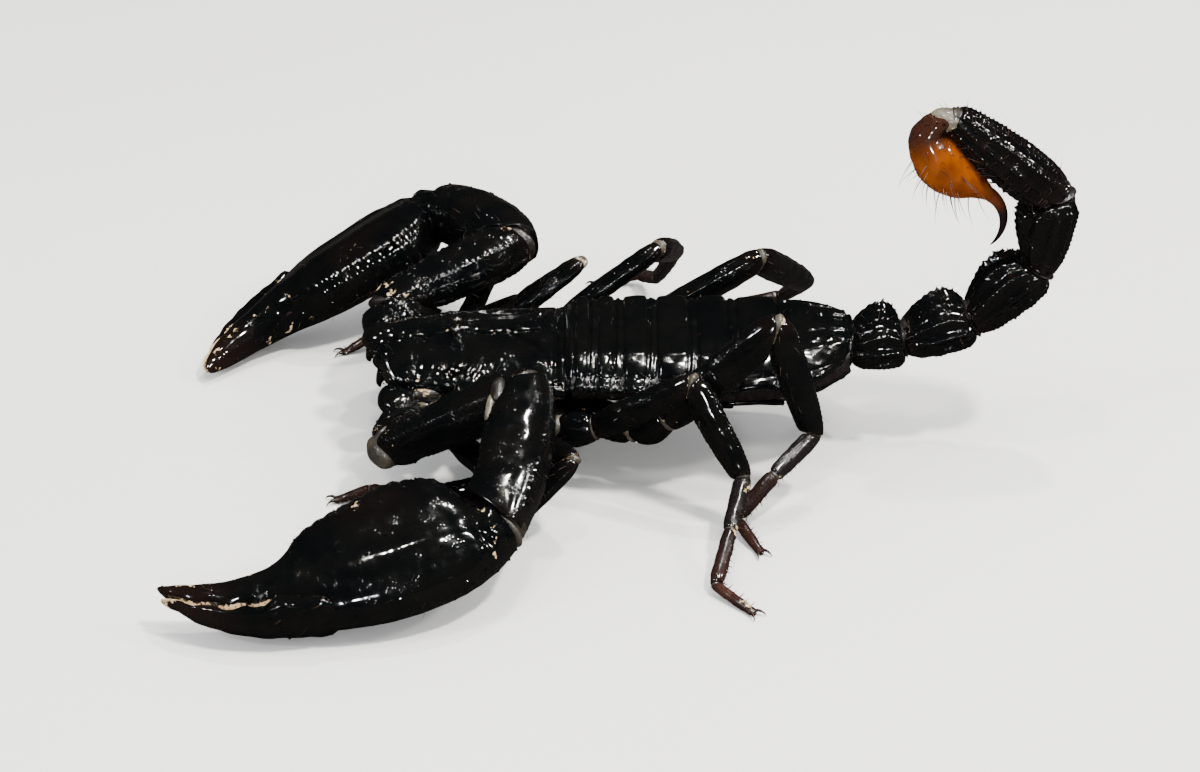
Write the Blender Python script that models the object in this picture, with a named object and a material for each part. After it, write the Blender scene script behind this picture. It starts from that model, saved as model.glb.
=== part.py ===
"""A forest scorpion at life size, standing with one claw on the floor and its tail curled.

The animal faces -Y, its left side is +X, and the floor is z = 0.  Every length in the tables
is in millimetres and every angle in degrees.  A direction is a pair (sweep, rise): sweep turns
from straight ahead out to the limb's own side, and rise lifts it from the floor.  The parts
meet at thin cuts that are CLEARANCE wide.
"""

import math

import bmesh
import bpy
from mathutils import Matrix, Vector

MM = 0.001
CLEARANCE = 0.3
LEFT, RIGHT = 1, -1
SIDE_NAMES = {LEFT: "left", RIGHT: "right"}

# Carapace: the shield over head and legs.
CARAPACE_FRONT = -21.7
CARAPACE_REAR = -3.35
CARAPACE_UNDERSIDE = 9.4
NOTCH_DEPTH = 1.6
EYE_Y = -14.2
EYE_RADIUS = 0.55
EYE_BULGE = 0.33
EYE_SPREAD = 0.95
EYE_TUBERCLE_Z = 13.05

# Mesosoma: seven ring segments, each (length, half width at its rear edge, belly height).
MESOSOMA_START = -3.05
MESOSOMA = (
    (2.3, 8.7, 8.8),
    (2.5, 8.9, 8.8),
    (3.3, 9.0, 8.7),
    (4.0, 9.0, 7.4),
    (3.9, 8.9, 7.4),
    (5.0, 8.4, 7.6),
    (6.9, 3.9, 7.9),
)
MESOSOMA_HALF_WIDTH = 8.6
TERGITE_EDGE = 11.3
TERGITE_CROWN = 13.6

# Tail in the plane x = 0: (length, width, height, angle up from straight back).
TAIL_START = Vector((0.0, 24.75, 11.0))
METASOMA = (
    (5.4, 6.8, 5.4, 8),
    (7.0, 6.3, 5.2, 18),
    (8.4, 6.0, 5.2, 43),
    (7.9, 5.6, 5.1, 79),
    (13.3, 5.0, 5.0, 141),
)
VESICLE_ANGLE = 309.5
VESICLE_START = Vector((0.0, 31.9, 34.6))

# Pedipalps: claw length from wrist to tip, hip, then (length, left direction, right direction) of each segment.
CHELA_TIP = 32.2
PALP_HIP = (8.2, -17.4, 7.4)
PALP_SEGMENTS = (
    ("trochanter", 5.4, (60, -6), (22, 32)),
    ("femur", 14.6, (172, 28), (153, 14)),
    ("patella", 15.7, (84, -24.5), (62, -8)),
    ("chela", CHELA_TIP, (10, -5.5), (-37, -18)),
)
CHELA_ROLL = {LEFT: 24, RIGHT: 26}
FINGER_START = 17.0
FINGER_ROOT = 22.3

# Legs: hip, segment lengths and depths, from trochanter to the last tarsus.
LEG_HIPS = ((8.6, -14.4, 7.0), (9.0, -10.2, 6.8), (9.2, -4.0, 6.6), (8.8, 3.2, 6.3))
COXA_ROOTS = ((1.6, -13.6, 6.9), (1.6, -11.4, 6.7), (1.6, -8.6, 6.6), (1.6, -6.4, 6.4))
PALP_COXA_ROOT = (2.0, -14.0, 7.2)
LEG_LENGTHS = (
    (3.0, 7.8, 7.6, 4.2, 3.6, 3.2),
    (3.5, 9.0, 9.2, 6.0, 5.0, 4.0),
    (3.8, 11.5, 10.2, 6.6, 6.4, 4.6),
    (4.2, 14.6, 12.0, 6.4, 5.7, 5.0),
)
LEG_DEPTHS = (
    (2.4, 2.6, 2.4, 1.6, 1.3, 1.1),
    (2.6, 2.7, 2.5, 1.7, 1.35, 1.1),
    (2.9, 3.0, 3.0, 1.8, 1.45, 1.15),
    (3.2, 3.9, 3.3, 1.9, 1.55, 1.25),
)
LEG_DIRECTIONS = {
    LEFT: (
        ((95, -3), (134, -14), (-15, -17), (-14, -13), (-45, -8), (8, 0)),
        ((140, 5), (123, 9), (18, -44), (3, -2), (-16, -7), (2, 0)),
        ((160, 12), (165, 33), (141, -52), (77, -19), (75, -23), (133, 0)),
        ((153, 30), (180, 44), (165, -71), (49, -16), (12, -49), (115, 0)),
    ),
    RIGHT: (
        ((100, 8), (106, 12), (11, -26), (16, -45), (-40, -12), (-9, 0)),
        ((107, 12), (159, 33), (28, -40), (31, -31), (32, -26), (24, 0)),
        ((100, 18), (160, 30), (103, -28), (64, -50), (72, -23), (-8, 0)),
        ((97, -4), (172, 29), (124, -35), (63, -38), (-6, -11), (3, 0)),
    ),
}
PAD_LENGTH = 1.3
PAD_HEIGHT = 0.7
PAD_WIDTH = 1.5

SHELL = ("shell_black", (0.008, 0.010, 0.011), 0.16)
AMBER = ("telson_amber", (0.55, 0.17, 0.02), 0.22)
STING = ("sting_brown", (0.05, 0.012, 0.006), 0.2)
TARSUS = ("tarsus_brown", (0.06, 0.014, 0.009), 0.3)
EYE = ("eye_black", (0.01, 0.008, 0.006), 0.05)
COMB = ("comb_tan", (0.30, 0.20, 0.11), 0.45)


# ---------------------------------------------------------------- tools

def clear_scene():
    for item in list(bpy.data.objects):
        bpy.data.objects.remove(item, do_unlink=True)


def surface(finish):
    name, color, roughness = finish
    made = bpy.data.materials.get(name) or bpy.data.materials.new(name)
    made.use_nodes = True
    shader = made.node_tree.nodes["Principled BSDF"]
    shader.inputs["Base Color"].default_value = (*color, 1.0)
    shader.inputs["Roughness"].default_value = roughness
    shader.inputs["Metallic"].default_value = 0.0
    return made


def heading(side, sweep, rise):
    turn, lift = math.radians(sweep), math.radians(rise)
    return Vector((
        side * math.sin(turn) * math.cos(lift),
        -math.cos(turn) * math.cos(lift),
        math.sin(lift),
    ))


def add_object(name, mesh_data, finish, origin):
    """Store a bmesh, whose points are in mm, as an object that stands at its own origin."""
    bmesh.ops.translate(mesh_data, verts=mesh_data.verts, vec=-origin)
    bmesh.ops.scale(mesh_data, verts=mesh_data.verts, vec=(MM, MM, MM))
    bmesh.ops.recalc_face_normals(mesh_data, faces=mesh_data.faces)
    mesh = bpy.data.meshes.new(name)
    mesh_data.to_mesh(mesh)
    mesh_data.free()
    mesh.materials.append(surface(finish))
    mesh.shade_smooth()
    mesh.set_sharp_from_angle(angle=math.radians(50))
    made = bpy.data.objects.new(name, mesh)
    made.location = origin * MM
    bpy.context.collection.objects.link(made)
    return made


def trim(mesh_data, cuts):
    """Cut away what lies beyond each plane (point, normal) and close the cut."""
    for point, normal in cuts:
        everything = mesh_data.verts[:] + mesh_data.edges[:] + mesh_data.faces[:]
        bmesh.ops.bisect_plane(mesh_data, geom=everything, plane_co=point, plane_no=normal,
                               clear_outer=True, dist=1e-4)
        open_edges = [edge for edge in mesh_data.edges if edge.is_boundary]
        if open_edges:
            bmesh.ops.edgenet_fill(mesh_data, edges=open_edges)


def skin_rings(name, rings, finish, cuts=()):
    """Skin a row of closed rings and cap both ends."""
    mesh_data = bmesh.new()
    loops = [[mesh_data.verts.new(point) for point in ring] for ring in rings]
    count = len(rings[0])
    for near, far in zip(loops, loops[1:]):
        for i in range(count):
            j = (i + 1) % count
            mesh_data.faces.new((near[i], near[j], far[j], far[i]))
    mesh_data.faces.new(loops[0])
    mesh_data.faces.new(loops[-1])
    trim(mesh_data, cuts)
    return add_object(name, mesh_data, finish, rings[0][0].copy())


def skin_grid(name, top, bottom, finish):
    """Close two grids of points, one over the other, into a plate."""
    mesh_data = bmesh.new()
    rows, columns = len(top), len(top[0])
    upper = [[mesh_data.verts.new(point) for point in row] for row in top]
    lower = [[mesh_data.verts.new(point) for point in row] for row in bottom]
    for i in range(rows - 1):
        for j in range(columns - 1):
            for grid in (upper, lower):
                mesh_data.faces.new((grid[i][j], grid[i][j + 1], grid[i + 1][j + 1], grid[i + 1][j]))
    rim = [(0, j) for j in range(columns)]
    rim += [(i, columns - 1) for i in range(1, rows)]
    rim += [(rows - 1, j) for j in range(columns - 2, -1, -1)]
    rim += [(i, 0) for i in range(rows - 2, 0, -1)]
    for (a, b), (c, d) in zip(rim, rim[1:] + rim[:1]):
        mesh_data.faces.new((upper[a][b], upper[c][d], lower[c][d], lower[a][b]))
    return add_object(name, mesh_data, finish, top[0][0].copy())


def oval(count, outer, inner, top, bottom, power=2.3):
    """Points of a rounded box, a flat edge down, as (out, up) pairs."""
    points = []
    for k in range(count):
        angle = 2 * math.pi * (k + 0.5) / count
        cosine, sine = math.cos(angle), math.sin(angle)
        across = math.copysign(abs(cosine) ** (2 / power), cosine)
        height = math.copysign(abs(sine) ** (2 / power), sine)
        points.append((across * (outer if across > 0 else inner), height * (top if height > 0 else bottom)))
    return points


def frame_at(along, up, side):
    along = along.normalized()
    up = (up - along * up.dot(along)).normalized()
    return side * up.cross(along), up


def place_ring(center, along, up, side, outline):
    outward, upward = frame_at(along, up, side)
    return [center + outward * x + upward * z for x, z in outline]


def mitre(joint, before, after):
    """The cutting planes at a joint: for the segment that ends there and the one that starts."""
    normal = (before + after).normalized()
    half = normal * (CLEARANCE / 2)
    return (joint - half, normal), (joint + half, -normal)


def pose(start, side, lengths, directions):
    """Walk along a limb: its joints and the direction of each segment."""
    joints, along = [Vector(start)], []
    for length, (sweep, rise) in zip(lengths, directions):
        along.append(heading(side, sweep, rise))
        joints.append(joints[-1] + along[-1] * length)
    return joints, along


# ---------------------------------------------------------------- carapace and eyes

def carapace_point(u, v):
    """Upper surface: u runs from right edge to left edge, v from front to rear."""
    half_width = 8.65 - 2.4 * (1 - v) ** 2.2
    edge = 11.0 - 0.4 * (1 - v)
    crown = 13.2 - 1.1 * (1 - v)
    front = CARAPACE_FRONT + NOTCH_DEPTH * math.exp(-(u / 0.2) ** 2) + 1.5 * abs(u) ** 5
    y = front + (CARAPACE_REAR - front) * v
    z = edge + (crown - edge) * (1 - abs(u) ** 2.6)
    x = half_width * u
    z -= 0.3 * math.exp(-(x / 0.7) ** 2)
    z += 0.7 * math.exp(-(x / 1.3) ** 2 - ((y - EYE_Y) / 1.8) ** 2)
    return Vector((x, y, z))


def build_carapace():
    across = (-1, -0.93, -0.78, -0.55, -0.33, -0.17, -0.07, 0.07, 0.17, 0.33, 0.55, 0.78, 0.93, 1)
    along = (0, 0.08, 0.2, 0.32, 0.4, 0.5, 0.65, 0.82, 1)
    top = [[carapace_point(u, v) for u in across] for v in along]
    bottom = [[Vector((0.985 * p.x, p.y, CARAPACE_UNDERSIDE)) for p in row] for row in top]
    skin_grid("carapace", top, bottom, SHELL)


def build_eyes():
    """The two median eyes, domes that face out and up from the tubercle between them."""
    for side, label in SIDE_NAMES.items():
        foot = Vector((side * EYE_SPREAD, EYE_Y, EYE_TUBERCLE_Z))
        facing = Vector((side * 0.6, 0, 0.8))
        center = foot + facing * (EYE_BULGE + CLEARANCE / 2)
        mesh_data = bmesh.new()
        bmesh.ops.create_uvsphere(mesh_data, u_segments=10, v_segments=6, radius=EYE_RADIUS)
        squash = Matrix.Scale(EYE_BULGE / EYE_RADIUS, 4, facing)
        bmesh.ops.transform(mesh_data, matrix=Matrix.Translation(center) @ squash, verts=mesh_data.verts)
        add_object("eye_" + label, mesh_data, EYE, center)


def build_chelicerae():
    """The two jaws, blunt and bent down; the right one is pushed further out."""
    rows = ((0, 1.7, 1.8, 0.0), (0.6, 1.8, 1.8, 0.0), (1.1, 1.5, 1.6, -0.3),
            (1.5, 1.0, 1.2, -0.9), (1.7, 0.5, 0.7, -1.7))
    for side, label in SIDE_NAMES.items():
        rings = []
        stretch = 0.45 if side == LEFT else 0.8
        for reach, half_width, half_height, drop in rows:
            center = Vector((side * 2.1, CARAPACE_FRONT - CLEARANCE - stretch * reach, 10.1 + drop))
            outline = oval(10, half_width, half_width, half_height, half_height)
            rings.append(place_ring(center, Vector((0, -1, 0)), Vector((0, 0, 1)), side, outline))
        skin_rings("chelicera_" + label, rings, SHELL)


# ---------------------------------------------------------------- underside

def tapered(name, start, end, half_widths, half_heights, finish=SHELL, count=10):
    """A closed tapered bar from start to end with rounded-box sections."""
    start, end = Vector(start), Vector(end)
    along = end - start
    rings = []
    steps = len(half_widths) - 1
    for k, (width, height) in enumerate(zip(half_widths, half_heights)):
        center = start + along * (k / steps)
        rings.append(place_ring(center, along, Vector((0, 0, 1)), 1, oval(count, width, width, height, height)))
    return skin_rings(name, rings, finish)


def coxa(side, root, hip):
    """Both ends of a coxa and the direction it points in."""
    start = Vector((side * root[0], root[1], root[2]))
    end = Vector((side * hip[0], hip[1], hip[2]))
    return start, end, (end - start).normalized()


def hip_cut(side, root, hip):
    """The plane at a hip that keeps the next segment clear of its coxa's flat end."""
    _, end, along = coxa(side, root, hip)
    return end + along * (CLEARANCE / 2), -along


def build_coxosternum():
    """Sternum, leg coxae and palp coxae, grown together under the carapace."""
    base = tapered("coxosternum", (0, -17.8, 7.2), (0, -3.6, 7.2), (3.4, 3.8, 4.2, 3.6), (1.75, 1.8, 1.8, 1.75))
    for side in (LEFT, RIGHT):
        joins = []
        for number, size in enumerate((1.45, 1.6, 1.75, 1.8)):
            root, hip, along = coxa(side, COXA_ROOTS[number], LEG_HIPS[number])
            widths, heights = (size * 0.9, size, size * 0.85), (size * 0.95, size * 0.95, size * 0.8)
            joins.append((root, hip - along * (CLEARANCE / 2), widths, heights))
        root, hip, along = coxa(side, PALP_COXA_ROOT, PALP_HIP)
        joins.append((root, hip - along * (CLEARANCE / 2), (2.2, 2.5, 2.1), (1.6, 1.8, 1.75)))
        for start, end, widths, heights in joins:
            tool = tapered("guide", start, end, widths, heights, count=8)
            tool.hide_render = True
            tool.display_type = "WIRE"
            union = base.modifiers.new("join", "BOOLEAN")
            union.operation = "UNION"
            union.solver = "EXACT"
            union.object = tool


def build_pectines():
    """The two combs behind the legs, each a bar with a row of teeth along its rear edge."""
    teeth = 9
    for side, label in SIDE_NAMES.items():
        top, bottom = [], []
        for k in range(2 * teeth + 1):
            t = k / (2 * teeth)
            root = Vector((side * 0.5, -0.6, 7.7))
            tip = Vector((side * 5.2, 6.2 - 2.6, 7.6))
            center = root + (tip - root) * t
            tooth = 1.5 if k % 2 else 0.75
            taper = 1 - 0.45 * t
            front = center + Vector((side * 0.55, -0.8, 0)) * taper
            back = center + Vector((-side * 0.5, 0.85, 0)) * tooth * taper
            top.append([front + Vector((0, 0, 0.4)), back + Vector((0, 0, 0.3))])
            bottom.append([front - Vector((0, 0, 0.4)), back - Vector((0, 0, 0.3))])
        skin_grid("pectine_" + label, top, bottom, COMB)


# ---------------------------------------------------------------- trunk and tail

TRUNK_SECTION = (  # (share of half width, share of height), from the crown round to the belly
    (0.0, 1.0), (0.36, 0.97), (0.68, 0.86), (0.9, 0.68), (1.0, 0.5), (0.985, 0.43),
    (0.9, 0.38), (0.86, 0.2), (0.74, 0.06), (0.42, 0.0), (0.0, 0.0),
)


def trunk_ring(y, half_width, belly, crown, edge):
    """One section of the trunk: an arched back plate over a narrower flank and a flat belly."""
    half = []
    for share, level in TRUNK_SECTION:
        if level >= 0.5:
            z = edge + (crown - edge) * (level - 0.5) / 0.5
        else:
            z = belly + (edge - belly) * level / 0.5
        half.append(Vector((share * half_width, y, z)))
    mirrored = [Vector((-p.x, p.y, p.z)) for p in reversed(half[1:-1])]
    return half + mirrored


def build_mesosoma():
    y, width = MESOSOMA_START, MESOSOMA_HALF_WIDTH
    for number, (length, rear_width, belly) in enumerate(MESOSOMA, start=1):
        last = number == len(MESOSOMA)
        rear = y + length - CLEARANCE
        rings = []
        for t, lift in ((0, -0.3), (0.3, 0.0), (0.88, 0.12), (1, 0.0)):
            half_width = width + (rear_width - width) * (t ** 1.7 if last else t)
            crown = TERGITE_CROWN + lift - (0.1 * t if last else 0)
            edge = TERGITE_EDGE + (0.35 * t if last else 0)
            low = belly + (1.1 * t if last else 0)
            rings.append(trunk_ring(y + (rear - y) * t, half_width + 0.3 * lift, low, crown, edge))
        skin_rings("mesosoma_%d" % number, rings, SHELL)
        y, width = y + length, rear_width


TAIL_SECTION = (  # (share of half width, share of half height): keels stand out, the top is hollow
    (0.0, 0.78), (0.5, 1.0), (0.92, 0.6), (1.0, 0.05), (0.9, -0.5), (0.5, -0.82), (0.0, -0.78),
)


def tail_outline(half_width, half_height, arch):
    half = [(share * half_width, level * half_height * (arch if level > 0.5 else 1.0))
            for share, level in TAIL_SECTION]
    return half + [(-x, z) for x, z in reversed(half[1:-1])]


METASOMA_ROWS = (  # (share of length, share of width and height, arch of the upper keels)
    (-0.02, 0.62, 0.85), (0.07, 0.82, 0.9), (0.3, 0.95, 1.0), (0.62, 1.0, 1.08),
    (0.88, 1.0, 1.02), (1.02, 0.8, 0.85),
)
LAST_ROWS = (
    (-0.02, 0.7, 0.85), (0.06, 0.9, 0.95), (0.3, 1.0, 1.0), (0.55, 0.94, 1.0),
    (0.8, 0.74, 1.0), (1.0, 0.56, 1.0),
)


def build_tail():
    directions = [(180, row[3]) for row in METASOMA]
    joints, along = pose(TAIL_START, LEFT, [row[0] for row in METASOMA], directions)
    for i, (length, width, height, angle) in enumerate(METASOMA):
        up = heading(LEFT, 180, angle + 90)
        last = i == len(METASOMA) - 1
        rings = []
        for t, size, arch in (LAST_ROWS if last else METASOMA_ROWS):
            center = joints[i] + along[i] * (length * t)
            outline = tail_outline(width / 2 * size, height / 2 * size, arch)
            rings.append(place_ring(center, along[i], up, LEFT, outline))
        before = along[i - 1] if i else Vector((0, 1, 0))
        cuts = [mitre(joints[i], before, along[i])[1]]
        if not last:
            cuts.append(mitre(joints[i + 1], along[i], along[i + 1])[0])
        skin_rings("metasoma_%d" % (i + 1), rings, SHELL, cuts)
    build_telson(joints[-1], along[-1])


def vesicle_point(s, n):
    """A point in the tail's plane, s along the vesicle and n toward its upper side."""
    along = heading(LEFT, 180, VESICLE_ANGLE)
    up = heading(LEFT, 180, VESICLE_ANGLE + 90)
    return VESICLE_START + along * s + up * n


def build_telson(tail_end, tail_along):
    rows = (  # (along, upper side, lower side, half width)
        (1.8, 1.0, -3.8, 2.7), (3.5, 1.0, -4.15, 3.0), (5.1, 1.0, -3.8, 2.8),
        (6.9, 0.9, -2.9, 2.1), (8.2, 0.75, -1.5, 1.3), (8.8, 0.7, -0.7, 0.8),
    )
    neck = tail_end + tail_along * CLEARANCE
    centers = [neck, Vector((0, 32.5, 35.25)), vesicle_point(0.0, -1.0)]
    halves = [(1.35, 1.1), (1.5, 1.1), (2.0, 1.7)]
    for s, top, bottom, half_width in rows:
        centers.append(vesicle_point(s, (top + bottom) / 2))
        halves.append((half_width, (top - bottom) / 2))
    tangents = [tail_along, heading(LEFT, 180, 200), heading(LEFT, 180, 268)]
    tangents += [heading(LEFT, 180, VESICLE_ANGLE)] * len(rows)
    rings = []
    for center, tangent, (width, height) in zip(centers, tangents, halves):
        up = tangent.cross(Vector((1, 0, 0)))
        rings.append(place_ring(center, tangent, up, LEFT, oval(12, width, width, height, height, 2.0)))
    skin_rings("telson", rings, AMBER)
    build_aculeus()


def build_aculeus():
    """The sting: a tapering hook that bends toward the vesicle's lower side."""
    steps, bend_radius, arc = 8, 3.5, 104
    start = vesicle_point(8.8 + CLEARANCE, 0.0)
    center = start + heading(LEFT, 180, VESICLE_ANGLE - 73) * bend_radius
    rings = []
    for k in range(steps):
        t = k / (steps - 1)
        angle = VESICLE_ANGLE + 107 - arc * t
        point = center + heading(LEFT, 180, angle) * bend_radius
        half = 0.75 * (1 - t) ** 0.8 + 0.28
        tangent = heading(LEFT, 180, angle - 90)
        up = heading(LEFT, 180, angle)
        rings.append(place_ring(point, tangent, up, LEFT, oval(8, half, half, half, half, 2.0)))
    skin_rings("aculeus", rings, STING)


# ---------------------------------------------------------------- pedipalps

PALP_ROWS = {  # (share of length, outer, inner, top, bottom) half sizes in mm
    "trochanter": ((-0.03, 1.7, 1.7, 1.6, 1.6), (0.25, 2.2, 2.2, 2.2, 2.2), (0.65, 2.7, 2.6, 2.7, 2.6),
                   (0.95, 2.4, 2.3, 2.5, 2.3), (1.2, 1.5, 1.5, 1.6, 1.5)),
    "femur": ((-0.08, 1.5, 1.5, 1.5, 1.4), (0.05, 2.1, 2.2, 2.0, 1.9), (0.3, 2.5, 2.5, 2.2, 2.1),
              (0.6, 2.9, 2.8, 2.5, 2.3), (0.88, 3.0, 2.9, 2.6, 2.4), (1.02, 2.5, 2.4, 2.2, 2.0),
              (1.14, 1.3, 1.3, 1.2, 1.2)),
    "patella": ((-0.16, 1.4, 1.4, 1.4, 1.3), (-0.05, 2.6, 2.7, 2.3, 2.2), (0.12, 3.3, 3.5, 2.8, 2.7),
                (0.35, 3.6, 4.0, 3.2, 3.0), (0.65, 3.6, 3.7, 3.3, 3.0), (0.88, 3.0, 3.0, 2.9, 2.6),
                (1.02, 2.3, 2.3, 2.3, 2.1), (1.09, 1.4, 1.4, 1.4, 1.3)),
}
# Claw outline: (distance from wrist, outer edge, inner edge, half thickness).
CHELA_ROWS = (
    (-0.8, 2.2, 2.2, 1.7), (1.2, 3.9, 4.3, 2.7), (4.4, 5.7, 6.2, 3.4), (6.8, 6.5, 6.9, 3.7),
    (9.5, 7.1, 7.1, 3.8), (12.6, 7.4, 6.0, 3.7), (15.8, 7.3, 4.5, 3.5), (18.6, 7.1, 2.8, 3.1),
    (20.8, 7.0, 0.4, 2.75), (22.5, 6.7, -0.5, 2.5), (25.7, 5.7, -0.9, 2.05), (29.0, 3.9, -0.5, 1.55),
    (31.0, 2.0, 0.3, 1.0), (CHELA_TIP, 0.6, 0.8, 0.55),
)


def chela_edges(s):
    """Outer edge, inner edge and half thickness of the claw at a distance from the wrist."""
    for low, high in zip(CHELA_ROWS, CHELA_ROWS[1:]):
        if s <= high[0]:
            t = (s - low[0]) / (high[0] - low[0])
            return [a + (b - a) * t for a, b in zip(low[1:], high[1:])]
    return list(CHELA_ROWS[-1][1:])


def finger_parting(s):
    """Where the two fingers meet, measured outward from the claw's axis."""
    if s < FINGER_START:
        return None
    at_start, at_root, hook = 7.0, 4.2, 4.0
    if s < FINGER_ROOT:
        return at_start + (at_root - at_start) * (s - FINGER_START) / (FINGER_ROOT - FINGER_START)
    return at_root - hook * ((s - FINGER_ROOT) / (CHELA_TIP - FINGER_ROOT)) ** 1.8


def chela_ring(wrist, along, up, side, s, outer, inner, half_thickness, count):
    """A ring whose outline runs from the edge -inner to the edge +outer."""
    middle, half = (outer - inner) / 2, (outer + inner) / 2
    outline = [(x + middle, z) for x, z in oval(count, half, half, half_thickness, 0.9 * half_thickness, 2.3)]
    return place_ring(wrist + along * s, along, up, side, outline)


def build_chela(side, wrist, along, before, up):
    label = SIDE_NAMES[side]
    hand_stops = [row[0] for row in CHELA_ROWS[:7]] + [16.9, 18.8, 20.8, 22.5, 25.7, 29.0, 31.0, CHELA_TIP]
    rings = []
    for s in hand_stops:
        outer, inner, thick = chela_edges(s)
        parting = finger_parting(s)
        if parting is not None:
            outer = parting - CLEARANCE / 2
        rings.append(chela_ring(wrist, along, up, side, s, outer, inner, thick, 16))
    skin_rings("manus_" + label, rings, SHELL, [mitre(wrist, before, along)[1]])
    rings = []
    for s in (18.4, 19.6, 20.8, 22.7, 25.7, 29.0, 31.0, 32.0):
        outer, _, thick = chela_edges(s)
        inner_edge = finger_parting(s) + CLEARANCE
        outer = max(outer, inner_edge + 0.6)
        rings.append(chela_ring(wrist, along, up, side, s, outer, -inner_edge, 0.95 * thick, 10))
    skin_rings("movable_finger_" + label, rings, SHELL)


def build_palp(side):
    hip = Vector((side * PALP_HIP[0], PALP_HIP[1], PALP_HIP[2]))
    directions = [row[2] if side == LEFT else row[3] for row in PALP_SEGMENTS]
    joints, along = pose(hip, side, [row[1] for row in PALP_SEGMENTS], directions)
    ups = [heading(side, sweep, rise + 90) for sweep, rise in directions]
    for i, (part, length, _, _) in enumerate(PALP_SEGMENTS[:-1]):
        rings = []
        for t, outer, inner, top, bottom in PALP_ROWS[part]:
            outline = oval(12, outer, inner, top, bottom, 2.6)
            rings.append(place_ring(joints[i] + along[i] * (length * t), along[i], ups[i], side, outline))
        if i:
            first_cut = mitre(joints[i], along[i - 1], along[i])[1]
        else:
            first_cut = hip_cut(side, PALP_COXA_ROOT, PALP_HIP)
        cuts = [first_cut, mitre(joints[i + 1], along[i], along[i + 1])[0]]
        skin_rings("%s_%s" % (part, SIDE_NAMES[side]), rings, SHELL, cuts)
    turn = Matrix.Rotation(math.radians(side * CHELA_ROLL[side]), 3, -along[3])
    build_chela(side, joints[3], along[3], along[2], turn @ ups[3])


# ---------------------------------------------------------------- legs

def bent_rings(joints, along, ups, side, stops, count):
    """Rings along a bent limb; each stop is (segment, share of it, half width, half depth)."""
    rings = []
    for i, t, half_width, half_depth in stops:
        length = (joints[i + 1] - joints[i]).length
        center = joints[i] + along[i] * (length * t)
        direction, up = along[i], ups[i]
        if t >= 1 and i + 1 < len(along):
            direction = along[i] + along[i + 1]
            up = ups[i] + ups[i + 1]
        outline = oval(count, half_width, half_width, half_depth, half_depth)
        rings.append(place_ring(center, direction, up, side, outline))
    return rings


def build_leg(side, number):
    name = "leg_%s_%d_" % (SIDE_NAMES[side], number + 1)
    hip = LEG_HIPS[number]
    start = Vector((side * hip[0], hip[1], hip[2]))
    lengths = list(LEG_LENGTHS[number])
    directions = list(LEG_DIRECTIONS[side][number])
    joints, along = pose(start, side, lengths[:5], directions[:5])
    # The last tarsus slopes down by just what sets the foot's pad on the floor.
    drop = joints[-1].z - PAD_HEIGHT / 2
    sweep = directions[5][0]
    directions[5] = (sweep, -math.degrees(math.asin(drop / lengths[5])))
    joints, along = pose(start, side, lengths, directions)
    # The deep side of every segment lies in the plane that the knee bends in.
    hinge = along[1].cross(along[2]).normalized()
    ups = [hinge.cross(direction).normalized() for direction in along]
    depths = [depth / 2 for depth in LEG_DEPTHS[number]]
    hip_d, femur_d, patella_d, tibia_d, basi_d, telo_d = depths
    femur_w, patella_w, tibia_w = 0.6 * femur_d, 0.62 * patella_d, 0.85 * tibia_d

    stops = ((0, -0.05, 0.6 * hip_d, 0.65 * hip_d), (0, 0.35, 0.9 * hip_d, hip_d),
             (0, 1.0, 0.85 * femur_w, 0.85 * hip_d), (1, 0.25, femur_w, femur_d),
             (1, 0.75, femur_w, 0.95 * femur_d), (1, 1.0 - 0.02, 0.85 * femur_w, 0.8 * femur_d))
    rings = bent_rings(joints[:3], along[:2], ups[:2], side, stops, 8)
    cuts = [hip_cut(side, COXA_ROOTS[number], hip), mitre(joints[2], along[1], along[2])[0]]
    skin_rings(name + "femur", rings, SHELL, cuts)

    stops = ((0, -0.04, 0.75 * patella_w, 0.7 * patella_d), (0, 0.12, patella_w, patella_d),
             (0, 0.6, 0.95 * patella_w, 0.92 * patella_d), (0, 0.95, 0.9 * tibia_w, 0.95 * tibia_d),
             (0, 1.04, 0.75 * tibia_w, 0.75 * tibia_d))
    rings = bent_rings(joints[2:4], along[2:3], ups[2:3], side, stops, 8)
    cuts = [mitre(joints[2], along[1], along[2])[1], mitre(joints[3], along[2], along[3])[0]]
    skin_rings(name + "patella", rings, SHELL, cuts)

    stops = ((0, -0.08, 0.7 * tibia_w, 0.7 * tibia_d), (0, 0.2, tibia_w, tibia_d),
             (0, 0.85, 0.9 * tibia_w, 0.9 * tibia_d), (1, 0.15, 0.9 * basi_d, 0.95 * basi_d),
             (1, 0.8, basi_d, basi_d), (2, 0.12, 0.9 * telo_d, 0.9 * telo_d),
             (2, 0.8, 0.9 * telo_d, 0.8 * telo_d))
    rings = bent_rings(joints[3:], along[3:], ups[3:], side, stops, 8)
    level = heading(side, sweep, 0)
    for reach, share in ((0.0, 0.9), (PAD_LENGTH, 1.0)):
        center = joints[-1] + level * reach
        outline = oval(8, share * PAD_WIDTH / 2, share * PAD_WIDTH / 2, PAD_HEIGHT / 2, PAD_HEIGHT / 2)
        lowest = min(z for _, z in outline)
        outline = [(x, z - lowest - PAD_HEIGHT / 2) for x, z in outline]
        rings.append(place_ring(center, level, Vector((0, 0, 1)), side, outline))
    skin_rings(name + "foot", rings, TARSUS, [mitre(joints[3], along[2], along[3])[1]])


# ---------------------------------------------------------------- assembly

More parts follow.
